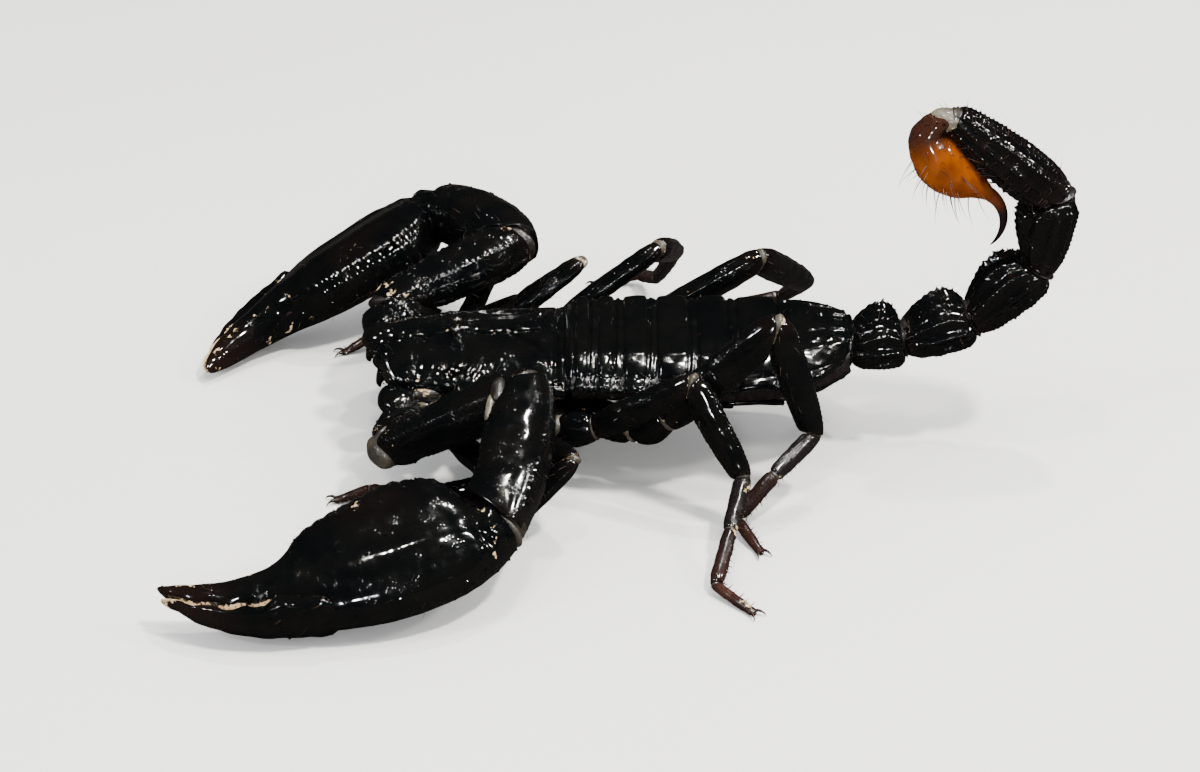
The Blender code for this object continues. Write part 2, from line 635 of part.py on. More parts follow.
def stand_at_origin():
    """Parent every part to one empty, so that the box of the whole stands on the origin."""
    parts = [item for item in bpy.context.scene.objects if not item.hide_render]
    bpy.context.view_layer.update()
    corners = [item.matrix_world @ vertex.co for item in parts for vertex in item.data.vertices]
    low = [min(point[axis] for point in corners) for axis in range(3)]
    high = [max(point[axis] for point in corners) for axis in range(3)]
    root = bpy.data.objects.new("scorpion", None)
    bpy.context.collection.objects.link(root)
    for item in list(bpy.context.scene.objects):
        if item is not root:
            item.parent = root
    root.location = (-(low[0] + high[0]) / 2, -(low[1] + high[1]) / 2, -low[2])


def main():
    clear_scene()
    build_carapace()
    build_eyes()
    build_chelicerae()
    build_coxosternum()
    build_pectines()
    build_mesosoma()
    build_tail()
    for side in (LEFT, RIGHT):
        build_palp(side)
        for number in range(4):
            build_leg(side, number)
    stand_at_origin()


main()
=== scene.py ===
"""Looks of a life-size forest scorpion: black shell plates, skin at the joints, teeth and bristles.

Everything is laid out in the animal's own frame, in millimetres: it faces -Y, its left side is
+X and the floor is z = 0.  A direction is a pair (sweep, rise) in degrees: sweep turns from
straight ahead out to the limb's own side, and rise lifts it from the floor.  A shell is a grid of
points, a row of rings from one end of a body part to the other.
"""

import math

import bpy
import numpy as np
from mathutils import Matrix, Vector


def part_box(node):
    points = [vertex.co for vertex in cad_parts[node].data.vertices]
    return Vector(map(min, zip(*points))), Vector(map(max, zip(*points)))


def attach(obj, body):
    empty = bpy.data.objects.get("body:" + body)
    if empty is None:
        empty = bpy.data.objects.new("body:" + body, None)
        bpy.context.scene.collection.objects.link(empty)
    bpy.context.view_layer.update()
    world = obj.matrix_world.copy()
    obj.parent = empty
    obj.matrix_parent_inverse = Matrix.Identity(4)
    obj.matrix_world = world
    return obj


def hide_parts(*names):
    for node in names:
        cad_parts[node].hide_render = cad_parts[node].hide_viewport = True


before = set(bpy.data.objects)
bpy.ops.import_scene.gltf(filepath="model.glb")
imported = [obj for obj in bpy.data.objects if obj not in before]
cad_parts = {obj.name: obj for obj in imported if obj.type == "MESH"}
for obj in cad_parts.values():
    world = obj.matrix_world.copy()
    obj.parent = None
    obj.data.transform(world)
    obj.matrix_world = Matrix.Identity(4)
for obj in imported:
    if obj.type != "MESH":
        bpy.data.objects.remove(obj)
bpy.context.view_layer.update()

MM = 0.001
CLEARANCE = 0.00002  # nothing dips below this height over the floor
LEFT, RIGHT = 1, -1
SIDE_NAMES = {LEFT: "left", RIGHT: "right"}

# Carapace
CARAPACE_FRONT = -21.7
CARAPACE_REAR = -3.35
CARAPACE_UNDERSIDE = 9.4
NOTCH_DEPTH = 1.6
EYE_Y = -14.2
EYE_SPREAD = 0.95
EYE_RADIUS = 0.56

# Trunk: (length, half width at the rear edge, belly height) of seven segments
TRUNK_START = -3.05
TRUNK = (
    (2.3, 8.7, 8.8),
    (2.5, 8.9, 8.8),
    (3.3, 9.0, 8.7),
    (4.0, 9.0, 7.4),
    (3.9, 8.9, 7.4),
    (5.0, 8.4, 7.6),
    (6.9, 3.9, 7.9),
)
TRUNK_HALF_WIDTH = 8.6
PLATE_EDGE = 11.0
PLATE_CROWN = 13.6

# Tail: (length, width, height, angle up from straight back), in the plane x = 0
TAIL_START = np.array((0.0, 24.75, 11.0))
TAIL = (
    (5.4, 6.8, 5.4, 8),
    (7.0, 6.3, 5.2, 18),
    (8.4, 6.0, 5.2, 43),
    (7.9, 5.6, 5.1, 79),
    (13.3, 5.0, 5.0, 141),
)
VESICLE_ANGLE = 309.5
VESICLE_START = np.array((0.0, 31.9, 34.6))

# Claw arms: (length, left direction, right direction)
CLAW_LENGTH = 32.2
ARM_HIP = (8.2, -17.4, 7.4)
ARM = (
    ("trochanter", 5.4, (60, -6), (22, 32)),
    ("femur", 14.6, (172, 28), (153, 14)),
    ("patella", 15.7, (84, -24.5), (62, -8)),
    ("claw", CLAW_LENGTH, (10, -5.5), (-37, -18)),
)
CLAW_ROLL = {LEFT: 24, RIGHT: 26}
FINGER_START = 17.0
FINGER_ROOT = 22.3
TOOTH_WAVE = 3.1  # from one big tooth of a finger to the next

# Legs: hips, segment lengths and depths from trochanter to the last tarsus
LEG_HIPS = ((8.6, -14.4, 7.0), (9.0, -10.2, 6.8), (9.2, -4.0, 6.6), (8.8, 3.2, 6.3))
COXA_ROOTS = ((1.6, -13.6, 6.9), (1.6, -11.4, 6.7), (1.6, -8.6, 6.6), (1.6, -6.4, 6.4))
ARM_COXA_ROOT = (2.0, -14.0, 7.2)
LEG_LENGTHS = (
    (3.0, 7.8, 7.6, 4.2, 3.6, 3.2),
    (3.5, 9.0, 9.2, 6.0, 5.0, 4.0),
    (3.8, 11.5, 10.2, 6.6, 6.4, 4.6),
    (4.2, 14.6, 12.0, 6.4, 5.7, 5.0),
)
LEG_DEPTHS = (
    (2.4, 2.6, 2.4, 1.6, 1.3, 1.1),
    (2.6, 2.7, 2.5, 1.7, 1.35, 1.1),
    (2.9, 3.0, 3.0, 1.8, 1.45, 1.15),
    (3.2, 3.9, 3.3, 1.9, 1.55, 1.25),
)
LEG_DIRECTIONS = {
    LEFT: (
        ((95, -3), (134, -14), (-15, -17), (-14, -13), (-45, -8), (8, 0)),
        ((140, 5), (123, 9), (18, -44), (3, -2), (-16, -7), (2, 0)),
        ((160, 12), (165, 33), (141, -52), (77, -19), (75, -23), (133, 0)),
        ((153, 30), (180, 44), (165, -71), (49, -16), (12, -49), (115, 0)),
    ),
    RIGHT: (
        ((100, 8), (106, 12), (11, -26), (16, -45), (-40, -12), (-9, 0)),
        ((107, 12), (159, 33), (28, -40), (31, -31), (32, -26), (24, 0)),
        ((100, 18), (160, 30), (103, -28), (64, -50), (72, -23), (-8, 0)),
        ((97, -4), (172, 29), (124, -35), (63, -38), (-6, -11), (3, 0)),
    ),
}
FOOT_HEIGHT = 0.35

# The frame's carapace says where the animal's own origin lies in the row frame.
carapace_low, carapace_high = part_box("carapace")
PLACE = np.array((
    (carapace_low.x + carapace_high.x) / 2,
    carapace_high.y - CARAPACE_REAR * MM,
    carapace_low.z - CARAPACE_UNDERSIDE * MM,
))
FORWARD, UP = np.array((0, -1.0, 0)), np.array((0, 0, 1.0))


# ---------------------------------------------------------------- geometry tools

def unit(vector):
    vector = np.asarray(vector, float)
    return vector / np.linalg.norm(vector, axis=-1, keepdims=True)


def heading(side, sweep, rise):
    turn, lift = math.radians(sweep), math.radians(rise)
    return np.array((
        side * math.sin(turn) * math.cos(lift),
        -math.cos(turn) * math.cos(lift),
        math.sin(lift),
    ))


def to_side(side, point):
    """A point of the left side, or its mirror image."""
    return np.array(point) * (side, 1, 1)


def frame_at(along, up, side):
    """Unit vectors outward and up, square to a direction or to each direction of a row."""
    along, up = unit(along), np.asarray(up, float)
    up = unit(up - along * np.sum(up * along, axis=-1, keepdims=True))
    return side * np.cross(up, along), up


def follow(rows, at):
    """Smooth curves through the columns of a table, read where its first column equals `at`."""
    table = np.array(rows, float)
    x, y = table[:, 0], table[:, 1:]
    slope = np.diff(y, axis=0) / np.diff(x)[:, None]
    product = slope[1:] * slope[:-1]
    total = np.where(product > 0, slope[1:] + slope[:-1], 1.0)
    bend = np.zeros_like(y)
    bend[1:-1] = np.where(product > 0, 2 * product / total, 0.0)
    bend[0], bend[-1] = slope[0], slope[-1]
    at = np.clip(np.asarray(at, float), x[0], x[-1])
    i = np.clip(np.searchsorted(x, at, side="right") - 1, 0, len(x) - 2)
    width = (x[i + 1] - x[i])[:, None]
    t = (at - x[i])[:, None] / width
    start = (2 * t ** 3 - 3 * t ** 2 + 1) * y[i] + (t ** 3 - 2 * t ** 2 + t) * width * bend[i]
    return start + (3 * t ** 2 - 2 * t ** 3) * y[i + 1] + (t ** 3 - t ** 2) * width * bend[i + 1]


def bell(value, center, width):
    return np.exp(-((value - center) / width) ** 2)


def ripple(points, size, seed):
    """A smooth uneven field between about -1 and 1, with lumps of the given size in mm."""
    draw = np.random.default_rng(seed)
    field = np.zeros(points.shape[:-1])
    for _ in range(7):
        wave = unit(draw.normal(size=3)) * draw.uniform(0.7, 1.5) * math.tau / (2 * size)
        field += np.sin(points @ wave + draw.uniform(0, math.tau))
    return field / 3.5


def push(grid, amount, direction):
    """Move a grid's points by an amount each."""
    return grid + amount[..., None] * direction


def around(count):
    return math.tau * (np.arange(count) + 0.5) / count


def rounded_box(angle, outer, inner, top, bottom, power):
    """Outlines as (rows, count) arrays of out and up; each size is one number for each row."""
    across, height = (np.sign(f) * np.abs(f) ** (2 / power) for f in (np.cos(angle), np.sin(angle)))
    x = np.where(across > 0, np.outer(outer, across), np.outer(inner, across))
    z = np.where(height > 0, np.outer(top, height), np.outer(bottom, height))
    return x, z


def four(sizes):
    """Outer, inner, top and bottom size, from a radius, from a width and a height, or from all four."""
    return np.repeat(sizes, 4 // len(sizes), axis=0)


def raise_keels(x, z, angle, s, keels):
    """Add ridges along a shell; a keel is (degrees round from the outer side, width, height, bead pitch)."""
    share = (s - s[0]) / (s[-1] - s[0])
    fade = np.clip(np.minimum(share, 1 - share) * 8, 0, 1)
    for degrees, width, height, pitch in keels:
        turn = (np.degrees(angle) - degrees + 180) % 360 - 180
        beads = np.ones_like(s)
        if pitch:
            uneven = 1.4 * np.sin(1.1 * s + degrees) + 0.9 * np.sin(2.7 * s)
            beads = 0.62 + 0.38 * np.cos(math.tau * s / pitch + uneven)
        lift = height * np.outer(fade * beads, np.exp(-(turn / width) ** 2))
        x += lift * math.cos(math.radians(degrees))
        z += lift * math.sin(math.radians(degrees))
    return x, z


def segment(start, along, up, side, length, rows, count, step, power=2.4, keels=(), lip=0.4):
    """Shell of a straight limb segment; a row is (share of length, sizes)."""
    rows = [(share, *four(sizes)) for share, *sizes in rows]
    first, last = rows[0][0] * length, rows[-1][0] * length
    s = np.linspace(first, last, max(10, int((last - first) / step)))
    depth = np.clip(np.minimum(s - first, last - s) / lip, 0, 1)
    rounding = 0.7 + 0.3 * np.sqrt(1 - (1 - depth) ** 2)
    sizes = (follow(rows, s / length) * rounding[:, None]).T
    angle = around(count)
    x, z = rounded_box(angle, *sizes, power)
    x, z = raise_keels(x, z, angle, s, keels)
    outward, upward = frame_at(along, up, side)
    line = start + np.outer(s, along)
    return line[:, None] + x[..., None] * outward + z[..., None] * upward


def bent(stations, count, rows, side=LEFT, power=2.0):
    """Shell along a curve; a station is (center, direction, up, sizes)."""
    table = [[k, *center, *along, *up, *four(sizes)]
             for k, (center, along, up, *sizes) in enumerate(stations)]
    values = follow(table, np.linspace(0, len(stations) - 1, rows))
    center, along, up, sizes = values[:, :3], values[:, 3:6], values[:, 6:9], values[:, 9:].T
    x, z = rounded_box(around(count), *sizes, power)
    outward, upward = frame_at(along, up, side)
    return center[:, None] + x[..., None] * outward[:, None] + z[..., None] * upward[:, None]


def ball(center, radii, count, rows, axes=np.eye(3)):
    """An ellipsoid shell whose radii lie along three axes."""
    turn = around(count)
    lift = np.linspace(-math.pi / 2 + 0.05, math.pi / 2 - 0.05, rows)
    flat = np.cos(lift)
    x = np.outer(flat, np.cos(turn)) * radii[0]
    y = np.outer(flat, np.sin(turn)) * radii[1]
    z = np.outer(np.sin(lift), np.ones(count)) * radii[2]
    return center + x[..., None] * axes[0] + y[..., None] * axes[1] + z[..., None] * axes[2]


def walk(start, side, lengths, directions):
    """Joints of a limb and the direction of each segment."""
    joints, along = [np.array(start, float)], []
    for length, (sweep, rise) in zip(lengths, directions):
        along.append(heading(side, sweep, rise))
        joints.append(joints[-1] + along[-1] * length)
    return joints, along


# ---------------------------------------------------------------- shells into pieces

FIELDS = ("soil", "tone", "coat", "grit", "reach")
CELL_BORDER = 0.04  # clear share round each shell's cell of the unwrap


def write_field(mesh, name, values):
    """Store a number or a vector at each point."""
    values = np.asarray(values, np.float32)
    kind, key = ("FLOAT", "value") if values.ndim == 1 else ("FLOAT_VECTOR", "vector")
    mesh.attributes.new(name, kind, "POINT").data.foreach_set(key, values.ravel())


class Pile:
    """Closed shells in mm that become one mesh.

    The fields are one number at each point: soil is where mud sticks, tone where the colour
    shifts, coat and grit how densely bristles and granules grow, and reach their length.
    """

    def __init__(self):
        self.points, self.faces, self.lie, self.flat = [], [], [], []
        self.fields = {name: [] for name in FIELDS}
        self.total = 0
        self.shells = 0

    def add(self, grid, ends="fan", **fields):
        rows, count = grid.shape[:2]
        points = grid.reshape(-1, 3)
        near = np.arange(rows - 1)[:, None] * count
        j = np.arange(count)[None]
        k = (j + 1) % count
        quads = np.stack(np.broadcast_arrays(near + j, near + k, near + count + k, near + count + j), -1)
        quads = quads.reshape(-1, 4)
        last = (rows - 1) * count
        caps = []
        if ends == "fan":
            points = np.vstack((points, grid[0].mean(0), grid[-1].mean(0)))
            pole = rows * count
            for i in range(count):
                caps.append((pole, (i + 1) % count, i))
                caps.append((pole + 1, last + i, last + (i + 1) % count))
        else:
            for i in range(count // 2 - 1):
                caps.append((count - 1 - i, count - 2 - i, i + 1, i))
                caps.append((last + i, last + i + 1, last + count - 2 - i, last + count - 1 - i))
        faces = quads.tolist() + [list(face) for face in caps]
        a, b, c, d = np.moveaxis(points[quads] - points.mean(0), 1, 0)
        if np.sum(a * (np.cross(b, c) + np.cross(c, d))) < 0:
            faces = [face[::-1] for face in faces]  # every face looks out of the shell
        self.faces += [[index + self.total for index in face] for face in faces]
        self.points.append(points)
        extra = len(points) - rows * count
        lie = unit(np.gradient(grid.mean(1), axis=0) + 1e-9)
        self.lie.append(self._spread(lie[:, None], (rows, count, 3), extra))
        place = np.stack(np.meshgrid(np.arange(count) / count, np.linspace(0, 1, rows)), -1)
        cell = np.full((rows, count, 1), float(self.shells))
        self.flat.append(self._spread(np.concatenate((place, cell), -1), (rows, count, 3), extra))
        for name in FIELDS:
            value = fields.get(name, 1.0 if name == "reach" else 0.0)
            value = np.asarray(value, float)
            if value.ndim == 1:
                value = value[:, None]
            self.fields[name].append(self._spread(value, (rows, count), extra))
        self.total += len(points)
        self.shells += 1

    @staticmethod
    def _spread(value, shape, extra):
        """Repeat values over a grid's points, and over the poles at its two ends."""
        value = np.broadcast_to(value, shape)
        flat = value.reshape(shape[0] * shape[1], *shape[2:])
        if extra:
            flat = np.concatenate((flat, value[0].mean(0, keepdims=True), value[-1].mean(0, keepdims=True)))
        return flat

    def join(self, other):
        self.faces += [[index + self.total for index in face] for face in other.faces]
        self.points += other.points
        self.lie += other.lie
        shift = np.array((0, 0, self.shells))
        self.flat += [flat + shift for flat in other.flat]
        for name in FIELDS:
            self.fields[name] += other.fields[name]
        self.total += other.total
        self.shells += other.shells

    def mesh(self, name, for_growth=False):
        """The joined mesh in the row frame, with the fields that its material or its coat reads."""
        made = bpy.data.meshes.new(name)
        points = np.concatenate(self.points) * MM + PLACE
        points[:, 2] = np.maximum(points[:, 2], CLEARANCE)
        made.from_pydata(points.tolist(), [], self.faces)
        made.shade_smooth()
        for field in FIELDS if for_growth else ("soil", "tone"):
            write_field(made, field, np.concatenate(self.fields[field]))
        if for_growth:
            cells = math.ceil(math.sqrt(self.shells))
            flat = np.concatenate(self.flat)
            column, row = flat[:, 2] % cells, flat[:, 2] // cells
            unwrap = np.zeros_like(flat)
            unwrap[:, 0] = (column + CELL_BORDER + (1 - 2 * CELL_BORDER) * flat[:, 0]) / cells
            unwrap[:, 1] = (row + CELL_BORDER + (1 - 2 * CELL_BORDER) * flat[:, 1]) / cells
            write_field(made, "lie", np.concatenate(self.lie))
            write_field(made, "unwrap", unwrap)
        return made


def show(name, mesh, finish, slot, nodes=()):
    """Put a finished mesh in the scene as a piece that stands for some CAD nodes."""
    mesh.materials.clear()
    mesh.materials.append(finish)
    piece = bpy.data.objects.new(name, mesh)
    bpy.context.scene.collection.objects.link(piece)
    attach(piece, "root")
    if nodes:
        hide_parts(*nodes)
    return piece


# ---------------------------------------------------------------- node tools

def wire(tree, socket, value):
    """Feed a socket from another socket, or set it to a constant."""
    if isinstance(value, bpy.types.NodeSocket):
        tree.links.new(value, socket)
    else:
        socket.default_value = value


def place(tree, kind, inputs=None, **settings):
    """Add a node; an input is a number, a colour or the socket that feeds it."""
    node = tree.nodes.new(kind)
    for name, value in settings.items():
        setattr(node, name, value)
    for key, value in (inputs or {}).items():
        by_name = (s for s in node.inputs if s.name == key and s.enabled)
        wire(tree, node.inputs[key] if isinstance(key, int) else next(by_name), value)
    return node


def out(node, name=None):
    return next(s for s in node.outputs if s.enabled and (name is None or s.name == name))


def calculate(tree, operation, *values, clamp=False):
    return out(place(tree, "ShaderNodeMath", dict(enumerate(values)), operation=operation, use_clamp=clamp))


def combine(tree, operation, first, second):
    """Vector arithmetic; SCALE takes its number last."""
    inputs = {0: first, 3 if operation == "SCALE" else 1: second}
    return out(place(tree, "ShaderNodeVectorMath", inputs, operation=operation))


def grade(tree, value, low, high, to_low=0.0, to_high=1.0):
    """A smooth step between two limits."""
    inputs = {"Value": value, "From Min": low, "From Max": high, "To Min": to_low, "To Max": to_high}
    return out(place(tree, "ShaderNodeMapRange", inputs, interpolation_type="SMOOTHSTEP"), "Result")


def mix_color(tree, share, first, second):
    node = place(tree, "ShaderNodeMix", data_type="RGBA")
    sockets = {socket.identifier: socket for socket in node.inputs}
    for key, value in (("Factor_Float", share), ("A_Color", first), ("B_Color", second)):
        wire(tree, sockets[key], value)
    return next(s for s in node.outputs if s.identifier == "Result_Color")


def noise(tree, vector, scale, detail, **inputs):
    texture = {"Vector": vector, "Scale": scale, "Detail": detail, **inputs}
    return out(place(tree, "ShaderNodeTexNoise", texture))


def new_group(name, kind, inputs, outputs):
    """An empty node group with named sockets, and its input and output sockets."""
    tree = bpy.data.node_groups.new(name, kind)
    for label, socket_type, default in inputs:
        socket = tree.interface.new_socket(label, in_out="INPUT", socket_type=socket_type)
        if default is not None:
            socket.default_value = default
    for label, socket_type in outputs:
        tree.interface.new_socket(label, in_out="OUTPUT", socket_type=socket_type)
    return tree, tree.nodes.new("NodeGroupInput").outputs, tree.nodes.new("NodeGroupOutput").inputs


# ---------------------------------------------------------------- shared material effects

def make_relief_group():
    """Fine pebbles and slow swells of a hard shell, as a height and a patchy gloss."""
    tree, given, result = new_group("shell_relief", "ShaderNodeTree", (
        ("Vector", "NodeSocketVector", None),
        ("Pebble Scale", "NodeSocketFloat", 3200.0),
        ("Pebbles", "NodeSocketFloat", 0.5),
        ("Swell Scale", "NodeSocketFloat", 420.0),
        ("Swells", "NodeSocketFloat", 0.5),
    ), (("Height", "NodeSocketFloat"), ("Gloss", "NodeSocketFloat")))
    vector = given["Vector"]
    pebble = place(tree, "ShaderNodeTexVoronoi", {"Vector": vector, "Scale": given["Pebble Scale"]})
    mound = grade(tree, out(pebble, "Distance"), 0.55, 0.0)
    swell = noise(tree, vector, given["Swell Scale"], 2.0)
    patch = noise(tree, vector, 650.0, 3.0)
    rough = calculate(tree, "MULTIPLY", mound, grade(tree, patch, 0.5, 0.68))
    rough = calculate(tree, "MULTIPLY", rough, given["Pebbles"])
    slow = calculate(tree, "MULTIPLY", swell, given["Swells"])
    tree.links.new(calculate(tree, "ADD", rough, slow), result["Height"])
    tree.links.new(patch, result["Gloss"])
    return tree


def make_soil_group():
    """Dried mud in torn flecks, where the amount is above nothing."""
    tree, given, result = new_group("dried_soil", "ShaderNodeTree", (
        ("Vector", "NodeSocketVector", None),
        ("Amount", "NodeSocketFloat", 0.2),
        ("Scale", "NodeSocketFloat", 900.0),
    ), (("Mask", "NodeSocketFloat"), ("Color", "NodeSocketColor")))
    fleck = noise(tree, given["Vector"], given["Scale"], 5.0, Roughness=0.65)
    limit = calculate(tree, "SUBTRACT", 0.82, calculate(tree, "MULTIPLY", given["Amount"], 0.42))
    over = calculate(tree, "SUBTRACT", fleck, limit)
    tree.links.new(grade(tree, over, 0.0, 0.035), result["Mask"])
    shade = noise(tree, given["Vector"], 2600.0, 3.0)
    color = mix_color(tree, shade, (0.16, 0.085, 0.035, 1), (0.62, 0.46, 0.25, 1))
    tree.links.new(color, result["Color"])
    return tree


def make_drift_group():
    """A slow drift between two colours."""
    tree, given, result = new_group("color_drift", "ShaderNodeTree", (
        ("Vector", "NodeSocketVector", None),
        ("Scale", "NodeSocketFloat", 300.0),
        ("First", "NodeSocketColor", (0, 0, 0, 1)),
        ("Second", "NodeSocketColor", (1, 1, 1, 1)),
    ), (("Color", "NodeSocketColor"), ("Share", "NodeSocketFloat")))
    share = grade(tree, noise(tree, given["Vector"], given["Scale"], 3.0), 0.36, 0.66)
    tree.links.new(mix_color(tree, share, given["First"], given["Second"]), result["Color"])
    tree.links.new(share, result["Share"])
    return tree


RELIEF = make_relief_group()
SOIL = make_soil_group()
DRIFT = make_drift_group()


class Finish:
    """A procedural material under construction."""

    def __init__(self, name, **constants):
        self.material = bpy.data.materials.new(name)
        self.material.use_nodes = True
        self.tree = self.material.node_tree
        self.shader = self.tree.nodes["Principled BSDF"]
        for key, value in constants.items():
            self.shader.inputs[key.replace("_", " ")].default_value = value
        self.vector = out(place(self.tree, "ShaderNodeTexCoord"), "Object")

    def use(self, group, **inputs):
        """Place a shared effect, with its own values."""
        node = place(self.tree, "ShaderNodeGroup", node_tree=group)
        wire(self.tree, node.inputs["Vector"], self.vector)
        for key, value in inputs.items():
            wire(self.tree, node.inputs[key.replace("_", " ")], value)
        return node.outputs

    def drift(self, scale, first, second):
        return self.use(DRIFT, Scale=scale, First=(*first, 1), Second=(*second, 1))

    def field(self, name):
        return out(place(self.tree, "ShaderNodeAttribute", attribute_name=name), "Fac")

    def shift(self, color, toward):
        """A colour that moves toward another one as the field `tone` says."""
        return mix_color(self.tree, self.field("tone"), color, (*toward, 1))

    def feed(self, socket, value):
        self.tree.links.new(value, self.shader.inputs[socket])

    def bump(self, height, depth):
        """Turn a height into the normal; the depth is in metres."""
        self.feed("Normal", out(place(self.tree, "ShaderNodeBump", {
            "Height": height, "Distance": depth, "Strength": 1.0})))


def shell_finish(name, dark, warm, toward, pebbles, rough, soil_scale=900.0):
    """Wet-looking cuticle with pebbles and flecks of mud."""
    made = Finish(name, Coat_Weight=0.15, Coat_Roughness=0.04, IOR=1.5)
    drift = made.drift(260.0, dark, warm)
    relief = made.use(RELIEF, Pebble_Scale=3000.0, Pebbles=pebbles, Swell_Scale=420.0, Swells=0.5)
    soil = made.use(SOIL, Amount=made.field("soil"), Scale=soil_scale)
    body = made.shift(drift["Color"], toward)
    made.feed("Base Color", mix_color(made.tree, soil["Mask"], body, soil["Color"]))
    smooth = grade(made.tree, relief["Gloss"], 0.35, 0.7, *rough)
    dull = calculate(made.tree, "MULTIPLY", soil["Mask"], 0.6)
    made.feed("Roughness", calculate(made.tree, "ADD", smooth, dull, clamp=True))
    crust = calculate(made.tree, "MULTIPLY", soil["Mask"], 0.5)
    made.bump(calculate(made.tree, "ADD", relief["Height"], crust), 0.00009)
    return made.material


def skin_finish():
    """Soft joint skin, cream to grey and finely wrinkled."""
    made = Finish("joint_skin", Coat_Weight=0.25, Coat_Roughness=0.15, Subsurface_Weight=0.15,
                  Subsurface_Radius=(0.0012, 0.0008, 0.0005))
    drift = made.drift(700.0, (0.045, 0.038, 0.024), (0.125, 0.105, 0.07))
    body = made.shift(drift["Color"], (0.005, 0.0032, 0.0026))
    soil = made.use(SOIL, Amount=made.field("soil"), Scale=1100.0)
    made.feed("Base Color", mix_color(made.tree, soil["Mask"], body, soil["Color"]))
    made.feed("Roughness", grade(made.tree, drift["Share"], 0.0, 1.0, 0.34, 0.5))
    made.bump(noise(made.tree, made.vector, 2400.0, 4.0), 0.00012)
    return made.material


def amber_finish():
    """The sting's bulb: clear amber that darkens to red-brown at both ends."""
    made = Finish("telson_amber", Coat_Weight=0.5, Coat_Roughness=0.05, Subsurface_Weight=0.25,
                  Subsurface_Radius=(0.0022, 0.0008, 0.0002))
    drift = made.drift(330.0, (0.078, 0.0145, 0.0002), (0.155, 0.034, 0.0005))
    relief = made.use(RELIEF, Pebble_Scale=1500.0, Pebbles=0.5, Swell_Scale=400.0, Swells=0.6)
    made.feed("Base Color", made.shift(drift["Color"], (0.019, 0.0068, 0.004)))
    made.feed("Roughness", grade(made.tree, relief["Gloss"], 0.35, 0.7, 0.08, 0.18))
    made.bump(relief["Height"], 0.00008)
    return made.material


def plain_finish(name, scale, first, second, rough, **constants):
    """Two colours that drift into each other, the second one duller."""
    made = Finish(name, **constants)
    drift = made.drift(scale, first, second)
    made.feed("Base Color", drift["Color"])
    made.feed("Roughness", grade(made.tree, drift["Share"], 0.0, 1.0, *rough))
    return made.material


COAL, SOOT, BROWN = (0.0009, 0.0011, 0.0012), (0.0017, 0.0017, 0.0016), (0.014, 0.006, 0.004)
BLACK = shell_finish("shell_black", COAL, SOOT, BROWN, 0.35, (0.06, 0.15))
BACK_BLACK = shell_finish("shell_black_back", COAL, SOOT, BROWN, 0.2, (0.1, 0.19))
ROUGH_BLACK = shell_finish("shell_black_rough", (0.0010, 0.0012, 0.0013), (0.0021, 0.0019, 0.0017), BROWN,
                           0.6, (0.08, 0.18))
TARSUS = shell_finish("tarsus_brown", (0.012, 0.0046, 0.003), (0.03, 0.0095, 0.0055),
                      (0.004, 0.0035, 0.0035), 0.5, (0.18, 0.32), 1400.0)
STING = shell_finish("sting_brown", (0.06, 0.014, 0.004), (0.08, 0.02, 0.005), (0.006, 0.003, 0.003),
                     0.15, (0.08, 0.16))
COMB = shell_finish("comb_tan", (0.26, 0.16, 0.08), (0.4, 0.28, 0.15), (0.08, 0.04, 0.02), 0.3, (0.3, 0.45))
SKIN = skin_finish()
AMBER = amber_finish()
BRISTLE = plain_finish("bristle_brown", 500.0, (0.012, 0.005, 0.004), (0.05, 0.018, 0.011), (0.3, 0.42),
                       Coat_Weight=0.2)
EYE = plain_finish("eye_black", 900.0, (0.002, 0.002, 0.002), (0.004, 0.003, 0.002), (0.05, 0.1),
                   Coat_Weight=1.0, Coat_Roughness=0.02, IOR=1.6)


# ---------------------------------------------------------------- coats: bristles, granules, teeth

GROWTH_INPUTS = (
    ("Geometry", "NodeSocketGeometry", None),
    ("Density", "NodeSocketFloat", 1.0),
    ("Size", "NodeSocketFloat", 1.0),
    ("Thickness", "NodeSocketFloat", 0.03),
    ("Lean", "NodeSocketFloat", 0.4),
    ("Curl", "NodeSocketFloat", 0.25),
    ("Seed", "NodeSocketInt", 1),
    ("Material", "NodeSocketMaterial", None),
)
PATCH = 0.003  # width of each tuft's place on the bake map


